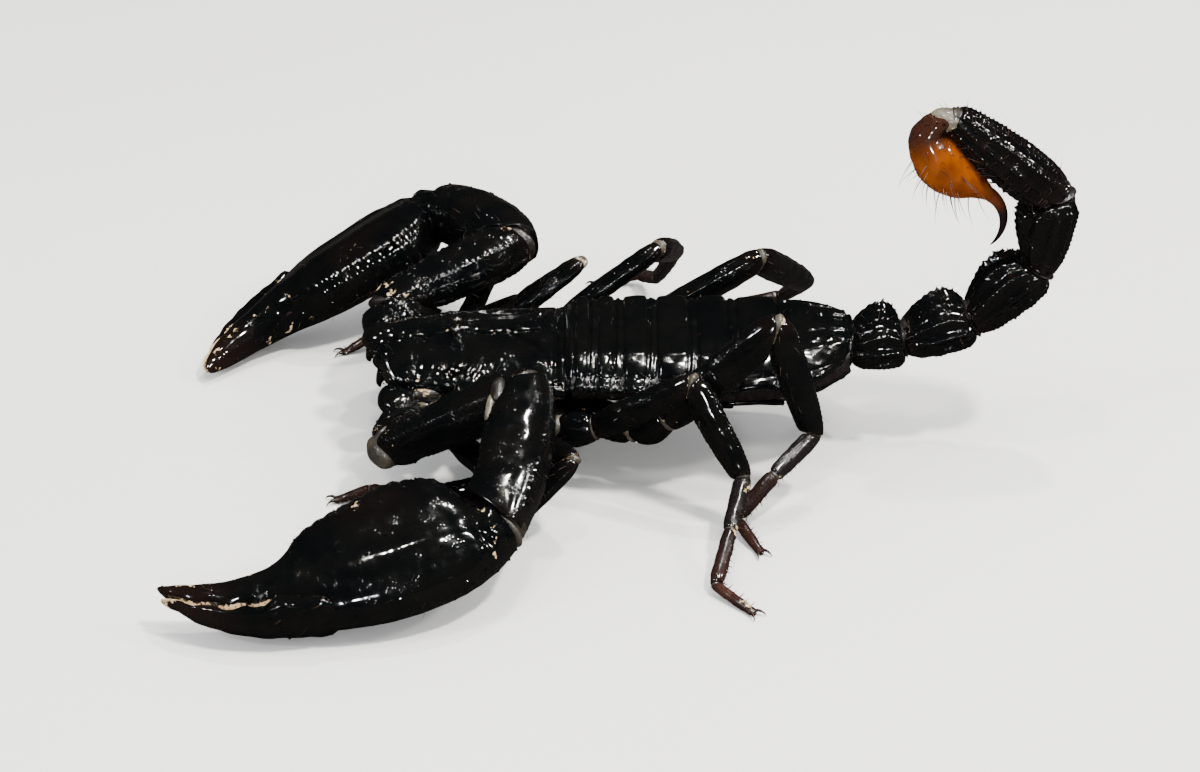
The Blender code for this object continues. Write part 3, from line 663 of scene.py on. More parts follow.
class Growth:
    """A tree that grows copies of one thing on a mesh; its inputs are the socket names above."""

    def __init__(self, name):
        outputs = (("Geometry", "NodeSocketGeometry"),)
        self.tree, self.given, self.result = new_group(name, "GeometryNodeTree", GROWTH_INPUTS, outputs)

    def place(self, kind, inputs=None, **settings):
        return place(self.tree, kind, inputs, **settings)

    def calculate(self, operation, *values):
        return calculate(self.tree, operation, *values)

    def combine(self, operation, first, second):
        return combine(self.tree, operation, first, second)

    def named(self, name, kind="FLOAT"):
        node = self.place("GeometryNodeInputNamedAttribute", {"Name": name}, data_type=kind)
        return out(node, "Attribute")

    def scatter(self, field):
        """Points over the mesh, as dense as a field says."""
        density = self.calculate("MULTIPLY", self.given["Density"], self.named(field))
        return self.place("GeometryNodeDistributePointsOnFaces", {
            "Mesh": self.given["Geometry"], "Density": density, "Seed": self.given["Seed"]})

    def stand(self, direction):
        """A rotation that turns the Z axis toward a direction."""
        return out(self.place("FunctionNodeAlignRotationToVector", {"Vector": direction}, axis="Z"))

    def size(self, smallest, seed, by_reach=True):
        """The copies' size: a random share of the input, times the field `reach`."""
        share = self.place("FunctionNodeRandomValue", {"Min": smallest, "Max": 1.0, "Seed": seed},
                           data_type="FLOAT")
        size = self.calculate("MULTIPLY", self.given["Size"], out(share))
        return self.calculate("MULTIPLY", size, self.named("reach")) if by_reach else size

    def spot(self, share):
        """A point's place inside its tuft's patch on the bake map."""
        return self.combine("MULTIPLY", out(self.place("GeometryNodeInputPosition")), share)

    def finish(self, points, thing, spot, turn, size):
        """Set the copies, make them real, and give each its patch on the bake map and its material."""
        marked = self.place("GeometryNodeStoreNamedAttribute", {
            "Geometry": thing, "Name": "tuft", "Value": spot}, data_type="FLOAT_VECTOR", domain="POINT")
        copies = self.place("GeometryNodeInstanceOnPoints", {
            "Points": points, "Instance": out(marked), "Rotation": turn, "Scale": size})
        real = self.place("GeometryNodeRealizeInstances", {"Geometry": out(copies)})
        root, own = self.named("unwrap", "FLOAT_VECTOR"), self.named("tuft", "FLOAT_VECTOR")
        on_map = self.combine("ADD", root, self.combine("SCALE", own, PATCH))
        grown = self.place("GeometryNodeStoreNamedAttribute", {
            "Geometry": out(real), "Name": "OFBake", "Value": on_map}, data_type="FLOAT2", domain="CORNER")
        for name in ("unwrap", "tuft", "lie", "aim", *FIELDS):
            grown = self.place("GeometryNodeRemoveAttribute", {"Geometry": out(grown), "Name": name})
        final = self.place("GeometryNodeSetMaterial", {
            "Geometry": out(grown), "Material": self.given["Material"]})
        self.tree.links.new(out(final), self.result["Geometry"])
        return self.tree


def make_bristle_tree():
    """Tapered, curved bristles that lean along the limb they grow on."""
    made = Growth("bristles")
    given = made.given
    spread = made.scatter("coat")
    lie = made.named("lie", "FLOAT_VECTOR")
    stray = made.place("FunctionNodeRandomValue", {
        "Min": (-0.3, -0.3, -0.3), "Max": (0.3, 0.3, 0.3), "Seed": 5}, data_type="FLOAT_VECTOR")
    aim = made.combine("ADD", made.combine("SCALE", lie, given["Lean"]), out(stray))
    aim = made.combine("ADD", aim, out(spread, "Normal"))
    turn = made.place("FunctionNodeAlignRotationToVector", {"Rotation": made.stand(aim), "Vector": lie},
                      axis="X", pivot_axis="Z")
    tip = made.place("ShaderNodeCombineXYZ", {"X": given["Curl"], "Z": 1.0})
    line = made.place("GeometryNodeCurveQuadraticBezier", {
        "Resolution": 5, "Start": (0.0, 0.0, 0.0), "Middle": (0.0, 0.0, 0.55), "End": out(tip)})
    profile = made.place("GeometryNodeCurvePrimitiveCircle", {"Resolution": 3, "Radius": given["Thickness"]})
    way = out(made.place("GeometryNodeSplineParameter"), "Factor")
    taper = made.calculate("SUBTRACT", 1.0, made.calculate("MULTIPLY", way, 0.93))
    hair = made.place("GeometryNodeCurveToMesh", {
        "Curve": out(line), "Profile Curve": out(profile), "Scale": taper, "Fill Caps": True})
    upright = made.place("ShaderNodeSeparateXYZ", {0: made.spot((0.5, 0.5, 0.9))}).outputs
    spot = made.place("ShaderNodeCombineXYZ", {"X": upright["X"], "Y": upright["Z"]})
    return made.finish(out(spread, "Points"), out(hair), out(spot), out(turn), made.size(0.45, 9))


def make_granule_tree():
    """Low round granules scattered over a shell."""
    made = Growth("granules")
    spread = made.scatter("grit")
    bead = made.place("GeometryNodeMeshIcoSphere", {"Radius": 1.0, "Subdivisions": 1})
    return made.finish(out(spread, "Points"), out(bead, "Mesh"), made.spot((0.5, 0.5, 0.0)),
                       made.stand(out(spread, "Normal")), made.size(0.4, 3, by_reach=False))


def make_tooth_tree():
    """Cones in a row along a line; each points where the line says."""
    made = Growth("teeth")
    line = made.place("GeometryNodeMeshToCurve", {"Mesh": made.given["Geometry"]})
    pitch = made.calculate("DIVIDE", 1.0, made.given["Density"])
    spread = made.place("GeometryNodeCurveToPoints", {"Curve": out(line)}, mode="LENGTH")
    made.tree.links.new(pitch, spread.inputs["Length"])
    cone = made.place("GeometryNodeMeshCone", {
        "Vertices": 7, "Side Segments": 2, "Radius Top": 0.03, "Radius Bottom": made.given["Thickness"],
        "Depth": 1.0})
    return made.finish(out(spread, "Points"), out(cone, "Mesh"), made.spot((0.5, 0.5, 0.0)),
                       made.stand(made.named("aim", "FLOAT_VECTOR")), made.size(0.6, 7))


BRISTLES = make_bristle_tree()
GRANULES = make_granule_tree()
TEETH = make_tooth_tree()


def grow(name, ground, tree, finish, slot, **values):
    """Run a growth tree on a mesh and keep what grew as a plain piece."""
    bed = bpy.data.objects.new(name + "_bed", ground)
    bpy.context.scene.collection.objects.link(bed)
    modifier = bed.modifiers.new("growth", "NODES")
    modifier.node_group = tree
    values["Material"] = finish
    for item in tree.interface.items_tree:
        if item.in_out == "INPUT" and item.name in values:
            modifier[item.identifier] = values[item.name]
    bpy.context.view_layer.update()
    graph = bpy.context.evaluated_depsgraph_get()
    mesh = bpy.data.meshes.new_from_object(bed.evaluated_get(graph), depsgraph=graph)
    bpy.data.objects.remove(bed, do_unlink=True)
    mesh.name = name
    points = np.zeros(3 * len(mesh.vertices), np.float32)
    mesh.vertices.foreach_get("co", points)
    points[2::3] = np.maximum(points[2::3], CLEARANCE)
    mesh.vertices.foreach_set("co", points)
    return show(name, mesh, finish, slot)


class Rows:
    """Lines in mm that teeth stand on, each point with the way its tooth points."""

    def __init__(self):
        self.points, self.edges, self.aim, self.reach, self.lines = [], [], [], [], []
        self.total = 0

    def add(self, points, aim, reach=1.0):
        count = len(points)
        self.points.append(points)
        self.edges += [(self.total + i, self.total + i + 1) for i in range(count - 1)]
        self.aim.append(np.broadcast_to(aim, (count, 3)))
        self.reach.append(np.broadcast_to(reach, (count,)))
        place_on_map = (np.linspace(0.05, 0.95, count), np.full(count, len(self.lines) + 0.5))
        self.lines.append(np.stack(place_on_map, -1))
        self.total += count

    def mesh(self, name):
        made = bpy.data.meshes.new(name)
        points = np.concatenate(self.points) * MM + PLACE
        made.from_pydata(points.tolist(), self.edges, [])
        lines = np.concatenate(self.lines) / (1, len(self.lines))
        write_field(made, "aim", unit(np.concatenate(self.aim)))
        write_field(made, "unwrap", np.column_stack((lines, np.zeros(len(lines)))))
        write_field(made, "reach", np.concatenate(self.reach))
        return made


# Shells that the coats grow on, and the lines that teeth and spines stand on.
GROUND = {name: Pile() for name in ("trunk", "tail", "arms", "legs_left", "legs_right")}
SHELL_TEETH, FOOT_SPINES = Rows(), Rows()
JOINT_SKIN = Pile()


def settle(name, pile, finish, slot, nodes, region=None):
    """Show a pile of shells, and let its region's coat grow on it."""
    if region:
        GROUND[region].join(pile)
    return show(name, pile.mesh(name), finish, slot, nodes)


def ramp(value, low, high):
    """0 below the first limit, 1 above the second, smooth between."""
    share = np.clip((value - low) / (high - low), 0, 1)
    return share * share * (3 - 2 * share)


def span(value, start, full, still, end):
    """A smooth rise from the first limit to the second, and a fall from the third to the fourth."""
    return ramp(value, start, full) * ramp(value, end, still)


def stops(count, rim):
    """Shares from 0 to 1 that crowd toward both ends, and how full a rounded slab is at each."""
    curve = 1 - np.cos(np.linspace(0, math.pi / 2, 6))
    share = np.concatenate((rim * curve[:-1], np.linspace(rim, 1 - rim, count), 1 - rim * curve[-2::-1]))
    depth = np.clip(np.minimum(share, 1 - share) / rim, 0, 1)
    return share, np.maximum(np.sqrt(1 - (1 - depth) ** 2), 0.04)


def slab(top, bottom, row_fill, column_fill):
    """Closed plate between two grids, thinned to a rounded rim along all four borders."""
    middle = (top + bottom) / 2
    fill = np.outer(row_fill, column_fill)[..., None]
    upper, lower = middle + (top - middle) * fill, middle + (bottom - middle) * fill
    return np.concatenate((upper, lower[:, ::-1]), axis=1)


def both_faces(field):
    """A field of a plate's top, with nothing on its lower face."""
    return np.concatenate((field, np.zeros_like(field)), axis=1)


def trim(grid, joint, normal, along, gap=0.07, lens=0.0, outer=None, soft=0.08):
    """Press what passes a joint's plane back onto it; a lens opens the joint on its outer side."""
    away = grid - joint
    past = away @ normal + gap
    if lens:
        past = past + lens * ramp(away @ outer, 0.2, 2.2)
    over = soft * np.logaddexp(0, past / soft)
    return grid - over[..., None] * along / (along @ normal)


def trim_limb(grid, joints, along, i, lens, soft=0.08):
    """Trim segment i of a limb at its joints with the segments before and after it."""
    for k, turn in ((i - 1, -1), (i, 1)):
        if 0 <= k < len(along) - 1:
            normal = turn * unit(along[k] + along[k + 1])
            outer = unit(along[k] - along[k + 1] + 1e-6)
            grid = trim(grid, joints[k + 1], normal, along[i], lens=lens, outer=outer, soft=soft)
    return grid


def add_sleeve(joint, before, after, up, side, width, height, reach, tone, folds=4, soil=0.15):
    """Folded skin inside a joint, from one segment's mouth into the next."""
    t = np.linspace(-1, 1, 5 * folds + 6)
    share = (t + 1) / 2
    line = joint + np.outer(np.clip(-t, 0, 1) ** 1.3, -before) * reach
    line = line + np.outer(np.clip(t, 0, 1) ** 1.3, after) * reach
    direction = unit(np.outer(1 - share, before) + np.outer(share, after))
    outward, upward = frame_at(direction, np.broadcast_to(up, direction.shape), side)
    swell = 0.9 + 0.06 * np.cos(t * folds * math.pi) - 0.12 * t ** 2
    x, z = rounded_box(around(28), *four((width * swell, height * swell)), 2.2)
    grid = line[:, None] + x[..., None] * outward[:, None] + z[..., None] * upward[:, None]
    grid = push(grid, 0.03 * ripple(grid, 0.7, 11), upward[:, None])
    JOINT_SKIN.add(grid, tone=tone, soil=soil)


def add_bulge(center, toward, size, tone, line=None, soil=0.22):
    """A smooth cushion of joint skin that shows on the open side of a joint; a line is its long way."""
    toward = unit(toward)
    across = unit(np.cross(toward, (0.3, 0.2, 1.0)))
    if line is not None:
        across = unit(line - toward * np.dot(line, toward))
    axes = (across, np.cross(toward, across), toward)
    grid = ball(center, size, 28, 18, axes)
    grid = push(grid, 0.05 * ripple(grid, 0.8, 17), toward)
    JOINT_SKIN.add(grid, tone=tone + 0.15 * ripple(grid, 1.0, 18), soil=soil)


# ---------------------------------------------------------------- carapace, eyes and jaws

# Furrows fork from the midline to the rear corners, and a shallow pair runs to the front corners:
# (start, run out, rise back, depth, width, length)
FURROWS = ((-9.4, 4.6, 4.4, 0.42, 0.34, 6.0), (-16.2, 4.6, 3.6, 0.2, 0.4, 4.6))


def carapace_top(u, v):
    """Upper surface: u runs from right edge to left edge, v from front to rear."""
    half_width = 8.65 - 2.4 * (1 - v) ** 2.2
    edge = 10.6 - 0.3 * (1 - v)
    crown = 13.2 - 1.1 * (1 - v)
    front = CARAPACE_FRONT + NOTCH_DEPTH * np.exp(-(u / 0.2) ** 2) + 1.5 * np.abs(u) ** 5
    x = half_width * u
    y = front + (CARAPACE_REAR - front) * v
    z = edge + (crown - edge) * (1 - np.abs(u) ** 2.3)
    away = np.abs(x)
    # A hollow midline with the eyes' mound and a fine groove, and a swelling behind each front corner.
    z -= 0.3 * bell(x, 0, 0.7)
    z += 0.7 * bell(x, 0, 1.3) * bell(y, EYE_Y, 1.8)
    z -= 0.26 * bell(x, 0, 0.2) * span(v, 0.04, 0.12, 0.8, 0.9)
    z += 0.28 * bell(away, 3.2, 1.9) * bell(y, -18.3, 2.6)
    for start, run, rise, depth, width, length in FURROWS:
        size = math.hypot(run, rise)
        offset = (away * rise - (y - start) * run) / size
        reach = (away * run + (y - start) * rise) / size
        z -= depth * bell(offset, 0, width) * span(reach, 0.2, 1.4, length - 1.2, length)
    # A low mound before the rear border, grooves inside the rear, front and side borders, and a cushion
    # on each flank.
    z += 0.12 * bell(y, -5.6, 1.3) * bell(away, 1.6, 1.3)
    z -= 0.24 * bell(y, CARAPACE_REAR - 0.95, 0.2) * ramp(away, 8.2, 7.2)
    z -= 0.14 * bell(v * 18.3, 0.75, 0.22)
    z -= 0.12 * bell(np.abs(u), 0.945, 0.016) * ramp(v, 0.1, 0.2)
    z += 0.34 * bell(away, 4.9, 1.5) * bell(y, -13.8, 4.6)
    shape = np.stack((x, y, z), -1)
    z += 0.05 * ripple(shape, 2.2, 4) + 0.02 * ripple(shape, 0.8, 5)
    beads = ripple(np.stack((x, y, z), -1), 0.42, 6)
    z += 0.045 * beads * bell(away, 6.2, 1.3) * span(y, -18.8, -17.5, -10, -8.0)
    return np.stack((x, y, z), -1)


def build_carapace():
    v, row_fill = stops(170, 0.013)
    u, column_fill = stops(200, 0.01)
    u = 2 * u - 1
    top = carapace_top(*np.meshgrid(u, v))
    bottom = top * (0.985, 1, 0) + (0, 0, CARAPACE_UNDERSIDE)
    x, y = np.abs(top[..., 0]), top[..., 1]
    furrow = bell(x, 0, 0.35) + 0.8 * bell(y, -15.6, 0.9) * bell(x, 1.6, 0.8)
    soil = 0.12 + 0.4 * furrow + 0.4 * bell(top[..., 0], 2.4, 1.6) * bell(y, -17.8, 1.4)
    soil += 0.25 * bell(np.abs(u), 0.95, 0.05)
    grit = 0.12 + 0.6 * ramp(x, 3.0, 6.5) + 0.4 * ramp(y, -15.5, -19.5)
    grit += 0.5 * bell(x, 6.2, 0.8) * span(y, -18.6, -17, -10, -8.2)
    pile = Pile()
    pile.add(slab(top, bottom, row_fill, column_fill), ends="strip", soil=both_faces(soil),
             grit=both_faces(grit), coat=both_faces(0.03 + 0.12 * ramp(y, -17, -21)))
    settle("carapace_plate", pile, BLACK, "shell_black", ["carapace"], "trunk")
    for side, label in SIDE_NAMES.items():
        pile = Pile()
        foot = np.array((side * EYE_SPREAD, EYE_Y, 13.05))
        pile.add(ball(foot + np.array((side * 0.6, 0, 0.8)) * 0.12, (EYE_RADIUS,) * 3, 32, 22))
        for place_v, place_u in ((0.012, 0.86), (0.05, 0.93), (0.095, 0.955)):
            corner = carapace_top(np.array(side * place_u), np.array(place_v))
            pile.add(ball(corner + (side * 0.02, 0, -0.06), (0.3, 0.3, 0.26), 20, 14))
        settle("eyes_" + label, pile, EYE, "eye_black", ["eye_" + label])


def build_jaw(side):
    """One chelicera: a stout hand, its fixed finger and the outer, movable one."""
    label = SIDE_NAMES[side]
    stretch, setback = (0.3, 1.3) if side == LEFT else (0.8, 0.5)
    root = np.array((side * 2.15, CARAPACE_FRONT + setback, 10.1))
    front = root + FORWARD * (0.8 + stretch * 1.1)
    pile = Pile()
    hand = bent((
        (root + (0, 1.5, 0), FORWARD, UP, 1.6, 1.6, 1.6, 1.5),
        (root, FORWARD, UP, 1.95, 1.9, 2.0, 1.9),
        (root + FORWARD * 0.7, FORWARD, UP, 2.0, 1.95, 2.05, 2.0),
        (front, unit(FORWARD - 0.35 * UP), UP, 1.45, 1.5, 1.5, 1.5),
        (front + (0, -0.28, -0.3), unit(FORWARD - 1.2 * UP), UP, 0.9),
    ), 40, 40, side, 2.3)
    pile.add(hand, soil=0.1, grit=0.1, coat=0.5)
    down = unit((side * 0.12, -0.35, -1.0))
    for offset, reach in ((0.75, 1.0), (-0.6, 0.85)):
        base = front + (side * offset, 0.1, -0.5)
        finger = bent((
            (base, down, FORWARD, 0.62, 0.6),
            (base + down * 0.7 * reach, down, FORWARD, 0.5, 0.48),
            (base + down * 1.35 * reach + (0, 0.06, 0), unit(down + (0, 0.5, 0)), FORWARD, 0.3),
            (base + down * 1.8 * reach + (0, 0.3, 0), unit(down + (0, 1.0, 0)), FORWARD, 0.08),
        ), 20, 24, side)
        pile.add(finger, tone=0.1)
        edge = base + np.outer(np.linspace(0.4, 1.4, 8), down) * reach + (0, 0.42, 0)
        SHELL_TEETH.add(edge, (0, 1.0, -0.4), 0.9)
    settle("jaw_" + label, pile, BLACK, "shell_black", ["chelicera_" + label], "trunk")


# ---------------------------------------------------------------- underside

COMB_TOOTH_COUNT = 15
COXA_SIZES = (1.45, 1.6, 1.75, 1.8)
# (share of length, half width, half depth): as shares for a leg's coxa, in mm for a claw arm's
COXA_ROWS = ((0, 0.8, 0.9), (0.15, 0.9, 0.95), (0.5, 1, 0.95), (0.85, 0.95, 0.9), (1, 0.8, 0.78))
COXA_KEELS = ((250, 12, 0.12, 0.6), (60, 12, 0.1, 0.6))
ARM_COXA_ROWS = ((0, 2.0, 1.5), (0.3, 2.4, 1.75), (0.7, 2.4, 1.8), (1, 1.9, 1.6))


def build_underside():
    pile = Pile()
    core = [(np.array((0, y, 7.2)), -FORWARD, UP, width, 1.6)
            for y, width in ((-17.8, 3.2), (-13, 3.6), (-8.5, 3.9), (-3.6, 3.4))]
    pile.add(bent(core, 40, 50), soil=0.3)
    # Sternum: a narrow five-sided plate between the rear coxae.
    share, fill = stops(24, 0.08)
    u, v = np.meshgrid(2 * share - 1, share)
    half = 1.25 * ramp(v, -0.15, 0.25) * (1 - 0.2 * v) + 0.25
    top = np.stack((half * u, -8.2 + 4.2 * v, 5.5 - 0.25 * (1 - u ** 2) + 0.12 * bell(u, 0, 0.2)), -1)
    pile.add(slab(top + (0, 0, 0.6), top, fill, fill), ends="strip", soil=0.3)
    for side in (LEFT, RIGHT):
        coxae = [(*ends, [(share, width * size, height * size) for share, width, height in COXA_ROWS],
                  dict(count=40, keels=COXA_KEELS), dict(soil=0.35, grit=0.3))
                 for *ends, size in zip(COXA_ROOTS, LEG_HIPS, COXA_SIZES)]
        coxae.append((ARM_COXA_ROOT, ARM_HIP, ARM_COXA_ROWS,
                      dict(count=48), dict(soil=0.4, grit=0.5, coat=0.2)))
        for root, hip, rows, shape, fields in coxae:
            start, end = to_side(side, root), to_side(side, hip)
            length = np.linalg.norm(end - start) - 0.15
            grid = segment(start, unit(end - start), UP, side, length, rows, step=0.22, power=2.5, **shape)
            pile.add(grid, **fields)
    settle("coxae_and_sternum", pile, BLACK, "shell_black", ["coxosternum"], "trunk")
    for side in (LEFT, RIGHT):
        build_comb(side)


def build_comb(side):
    """One pectine: a jointed bar with a fringe of blunt teeth."""
    pile = Pile()
    root, tip = np.array((side * 0.5, -0.6, 7.7)), np.array((side * 5.2, 3.6, 7.6))
    along = unit(tip - root)
    back = unit((-side * 0.5, 0.85, 0))
    length = np.linalg.norm(tip - root)
    rows = ((0, 0.75, 0.4), (0.1, 0.85, 0.42), (0.7, 0.6, 0.36), (1, 0.35, 0.25))
    pile.add(segment(root, along, UP, side, length, rows, 28, 0.15), soil=0.2, coat=0.3)
    rows = ((0, 0.13, 0.2), (0.5, 0.17, 0.2), (0.85, 0.16, 0.17), (1, 0.08, 0.08))
    for k in range(COMB_TOOTH_COUNT):
        t = (k + 0.5) / COMB_TOOTH_COUNT
        base = root + along * length * t + back * 0.3
        pile.add(segment(base, back, UP, side, 1.35 - 0.5 * t, rows, 12, 0.12, 2.0, lip=0.1), tone=0.2)
    label = SIDE_NAMES[side]
    settle("comb_" + label, pile, COMB, "comb_tan", ["pectine_" + label], "trunk")


# ---------------------------------------------------------------- trunk

# Height across a back plate and across a belly plate, and along a plate: its crown and its flank.
ARCH = ((-1, 0), (-0.93, 0.13), (-0.76, 0.68), (-0.66, 0.89), (-0.36, 0.98), (0, 1),
        (0.36, 0.98), (0.66, 0.89), (0.76, 0.68), (0.93, 0.13), (1, 0))
BELLY = ((-0.86, 0.2), (-0.74, 0.06), (-0.42, 0.0), (0, 0.0), (0.42, 0.0), (0.74, 0.06), (0.86, 0.2))
PLATE_PROFILE = ((-0.3, -0.75), (0, -0.3), (0.25, 0.0), (0.55, 0.13), (0.85, 0.03), (1.1, -0.14))
FLANK_PROFILE = ((-0.3, -0.5), (0, -0.3), (0.25, 0.0), (0.5, 0.04), (0.75, 0.0), (0.95, -0.16), (1.1, -0.3))
# Half of the skin's outline, from the top: shares of the half width and of the height.
SKIN_SECTION = ((0, 1.0), (0.5, 0.92), (0.85, 0.66), (0.93, 0.5), (0.95, 0.42), (0.94, 0.3), (0.86, 0.17),
                (0.7, 0.1), (0.4, 0.06), (0, 0.06))
LAST_PLATE = len(TRUNK) - 1
FIRST_BELLY_PLATE = 2


def trunk_sizes(number, t):
    """Half width, crown, edge and belly heights of a trunk segment at a share of its length."""
    _, rear_width, belly = TRUNK[number]
    width = TRUNK[number - 1][1] if number else TRUNK_HALF_WIDTH
    inside = np.clip(t, 0, 1)
    late = inside if number == LAST_PLATE else 0 * inside
    half = width + (rear_width - width) * (inside ** 1.7 if number == LAST_PLATE else inside)
    lift = follow(PLATE_PROFILE, t)[:, 0]
    crown, edge = PLATE_CROWN + lift - 0.1 * late, PLATE_EDGE + 0.35 * late + 0.4 * lift
    return half + 0.3 * lift, crown, edge, belly + 1.1 * late


def build_trunk():
    y = TRUNK_START
    for number, (length, _, _) in enumerate(TRUNK):
        last = number == LAST_PLATE
        v, row_fill = stops(max(26, int(length * 9)), 0.05)
        u, column_fill = stops(130, 0.012)
        u = (2 * u - 1)[None]
        start, end = -0.5 / length, 1 if last else 1 + 0.45 / length
        t = start + v * (end - start)
        half, crown, edge, _ = (size[:, None] for size in trunk_sizes(number, t))
        swell = follow(FLANK_PROFILE, t)
        t = t[:, None]
        # The rear edge bows back at the middle, and the corners are rounded off.
        ys = y + t * length + (0.25 * (1 - u ** 2) - 0.5 * np.abs(u) ** 12) * ramp(t, 0.2, 1)
        z = edge + (crown - edge) * follow(ARCH, u[0])[:, 0]
        shape = np.stack((half * u, ys, z), -1)
        away, flank = np.abs(shape[..., 0]), ramp(np.abs(u), 0.55, 0.8)
        rear, reach = ramp(t, 0.35, 1), t * length
        across = np.gradient(shape, axis=1)
        outward = unit(np.stack((-across[..., 2], 0 * away, across[..., 0]), -1))
        # Raised midline and shallow pits, a groove inside each border, and a cushion on each flank.
        lift = 0.16 * bell(away, 0, 0.45) * rear - 0.14 * bell(away, 2.1, 0.8) * bell(t, 0.45, 0.16)
        lift -= 0.1 * bell(away, 5.4, 1.0) * bell(t, 0.5, 0.2)
        lift -= 0.34 * bell(reach, length - 0.4, 0.15) + 0.26 * bell(reach, 0.5, 0.16)
        lift -= 0.16 * bell(np.abs(u), 0.9, 0.018) * ramp(t, 0.1, 0.25)
        lift += swell * flank
        lift += 0.03 * ripple(shape, 1.9, 20 + number) + 0.016 * flank * ripple(shape, 0.7, 50 + number)
        if last:
            # Uneven rows of beads converge toward the rear.
            lift += 0.03 * flank * ripple(shape, 0.5, 80)
            beads = 0.5 + 0.5 * np.clip(1.7 * ripple(shape, 0.7, 70), -1, 1)
            for center, lean in ((1.5, 0.0), (4.3, 1.4)):
                row = bell(away, center - lean * np.clip(t, 0, 1), 0.24)
                lift += 0.26 * row * span(t, 0.3, 0.45, 0.92, 1.0) * beads
        shape = push(shape, lift, outward)
        border = 0.5 * bell(np.abs(u), 0.97, 0.06) + 0.4 * bell(t, 1.0, 0.12)
        soil = 0.06 + 0.3 * border
        if number % 3 == 1:
            soil = soil + 0.4 * bell(shape[..., 0], 3.0, 1.2) * bell(t, 0.4, 0.3)
        grit = 0.12 + 0.7 * ramp(np.abs(u), 0.6, 1) + 0.35 * rear + 0.5 * last
        pile = Pile()
        pile.add(slab(shape, shape - (0, 0, 0.5), row_fill, column_fill), ends="strip",
                 soil=both_faces(soil), grit=both_faces(grit), coat=both_faces(0.02 + 0.05 * border))
        if number >= FIRST_BELLY_PLATE:
            add_belly_plate(pile, number, y, length)
        name = "mesosoma_%d" % (number + 1)
        settle(name + "_plates", pile, BACK_BLACK, "shell_black", [name], "trunk")
        y += length
    add_trunk_skin()


def add_belly_plate(pile, number, y, length):
    """Flat belly plate; all but the last have a pair of breathing slits."""
    last = number == LAST_PLATE
    v, row_fill = stops(max(20, int(length * 6)), 0.05)
    u, column_fill = stops(80, 0.014)
    u = (2 * u - 1) * 0.86
    t = -0.1 + v * (1.1 if last else 1.13)
    half, _, edge, low = (size[:, None] for size in trunk_sizes(number, t))
    t = t[:, None]
    z = low + (edge - low) * follow(BELLY, u)[:, 0] - 0.12 * ramp(t, 0.5, 1)
    if last:
        half = half - 0.9 * ramp(t, 0.55, 1.0)
    shape = np.stack(np.broadcast_arrays(half * u, y + t * length, z), -1)
    shape[..., 2] += 0.03 * ripple(shape, 1.6, 40 + number)
    away = np.abs(shape[..., 0])
    if last:
        shape[..., 2] += 0.05 * ripple(shape, 0.6, 81) * ramp(np.abs(u), 0.5, 0.7)
        for center in (1.3, 3.2):
            shape[..., 2] -= 0.14 * bell(away, center, 0.2) * span(t, 0.2, 0.4, 0.9, 1)
    else:
        shape[..., 2] += 0.3 * bell(t * length, 0.55 * length, 0.16) * bell(away, 5.2, 0.75)
    plate = slab(shape + (0, 0, 0.45), shape, row_fill, column_fill)
    pile.add(plate, ends="strip", soil=0.15, grit=0.05, coat=0.06)


def add_trunk_skin():
    """The pleated skin of the flanks, under the back plates and over the belly plates."""
    stations, y, bounds = [], TRUNK_START, []
    for number, (length, _, _) in enumerate(TRUNK):
        stations += [(number, 0.0, y), (number, 0.5, y + 0.5 * length)]
        y += length
        bounds.append(y)
    stations.append((LAST_PLATE, 1.0, y - 0.25))
    table = [np.hstack((at, *trunk_sizes(number, np.array((t,))))) for number, t, at in stations]
    at = np.linspace(TRUNK_START + 0.3, y - 0.3, 200)
    half, crown, edge, low = (size[:, None] for size in follow(table, at).T)
    at = at[:, None]
    low = low - 0.9 * ramp(at, 6.5, 4.0)
    section = np.array(SKIN_SECTION)
    way = np.concatenate(((0,), np.cumsum(np.linalg.norm(np.diff(section, axis=0), axis=1))))
    right_half = follow(np.column_stack((way, section)), np.linspace(0, way[-1], 44))
    across, level = np.concatenate((right_half, right_half[-2:0:-1] * (-1, 1))).T
    z = np.where(level > 0.5, edge + (crown - 0.75 - edge) * (level - 0.5) / 0.5,
                 low + (edge - low) * level / 0.5)
    flank = bell(level, 0.36, 0.14)
    x = half * across * (1 - 0.04 * (sum(bell(at, bound, 0.45) for bound in bounds) * flank))
    x = x + np.sign(x) * 0.07 * np.cos(at * 6.5) * flank
    JOINT_SKIN.add(np.stack(np.broadcast_arrays(x, at, z), -1), tone=1.0, soil=0.02)


# ---------------------------------------------------------------- tail and sting

# Corners of a segment's outline from its top, as shares of its half width and half height
TAIL_CORNERS = ((0, 0.78), (0.5, 1.0), (0.92, 0.6), (1.0, 0.05), (0.9, -0.5), (0.5, -0.82),
                (0, -0.78), (-0.5, -0.82), (-0.9, -0.5), (-1.0, 0.05), (-0.92, 0.6), (-0.5, 1.0))
# (share of length, size, height of the upper side)
TAIL_ROWS = ((-0.02, 0.62, 0.75), (0.07, 0.8, 0.82), (0.3, 0.94, 1.06), (0.52, 1.0, 1.2), (0.7, 1.0, 1.22),
             (0.87, 0.98, 1.0), (1.02, 0.78, 0.74))
LAST_TAIL_ROWS = ((-0.02, 0.7, 0.85), (0.06, 0.9, 0.95), (0.3, 1.0, 1.0), (0.55, 0.94, 1.0), (0.8, 0.76, 1.0),
                  (1.0, 0.58, 1.0))
# Points across each face between two corners, and the corners with the upper toothed keels
FACE_POINTS = 12
UPPER_KEELS = (1, 11)
BULB_SMOOTHING = 60
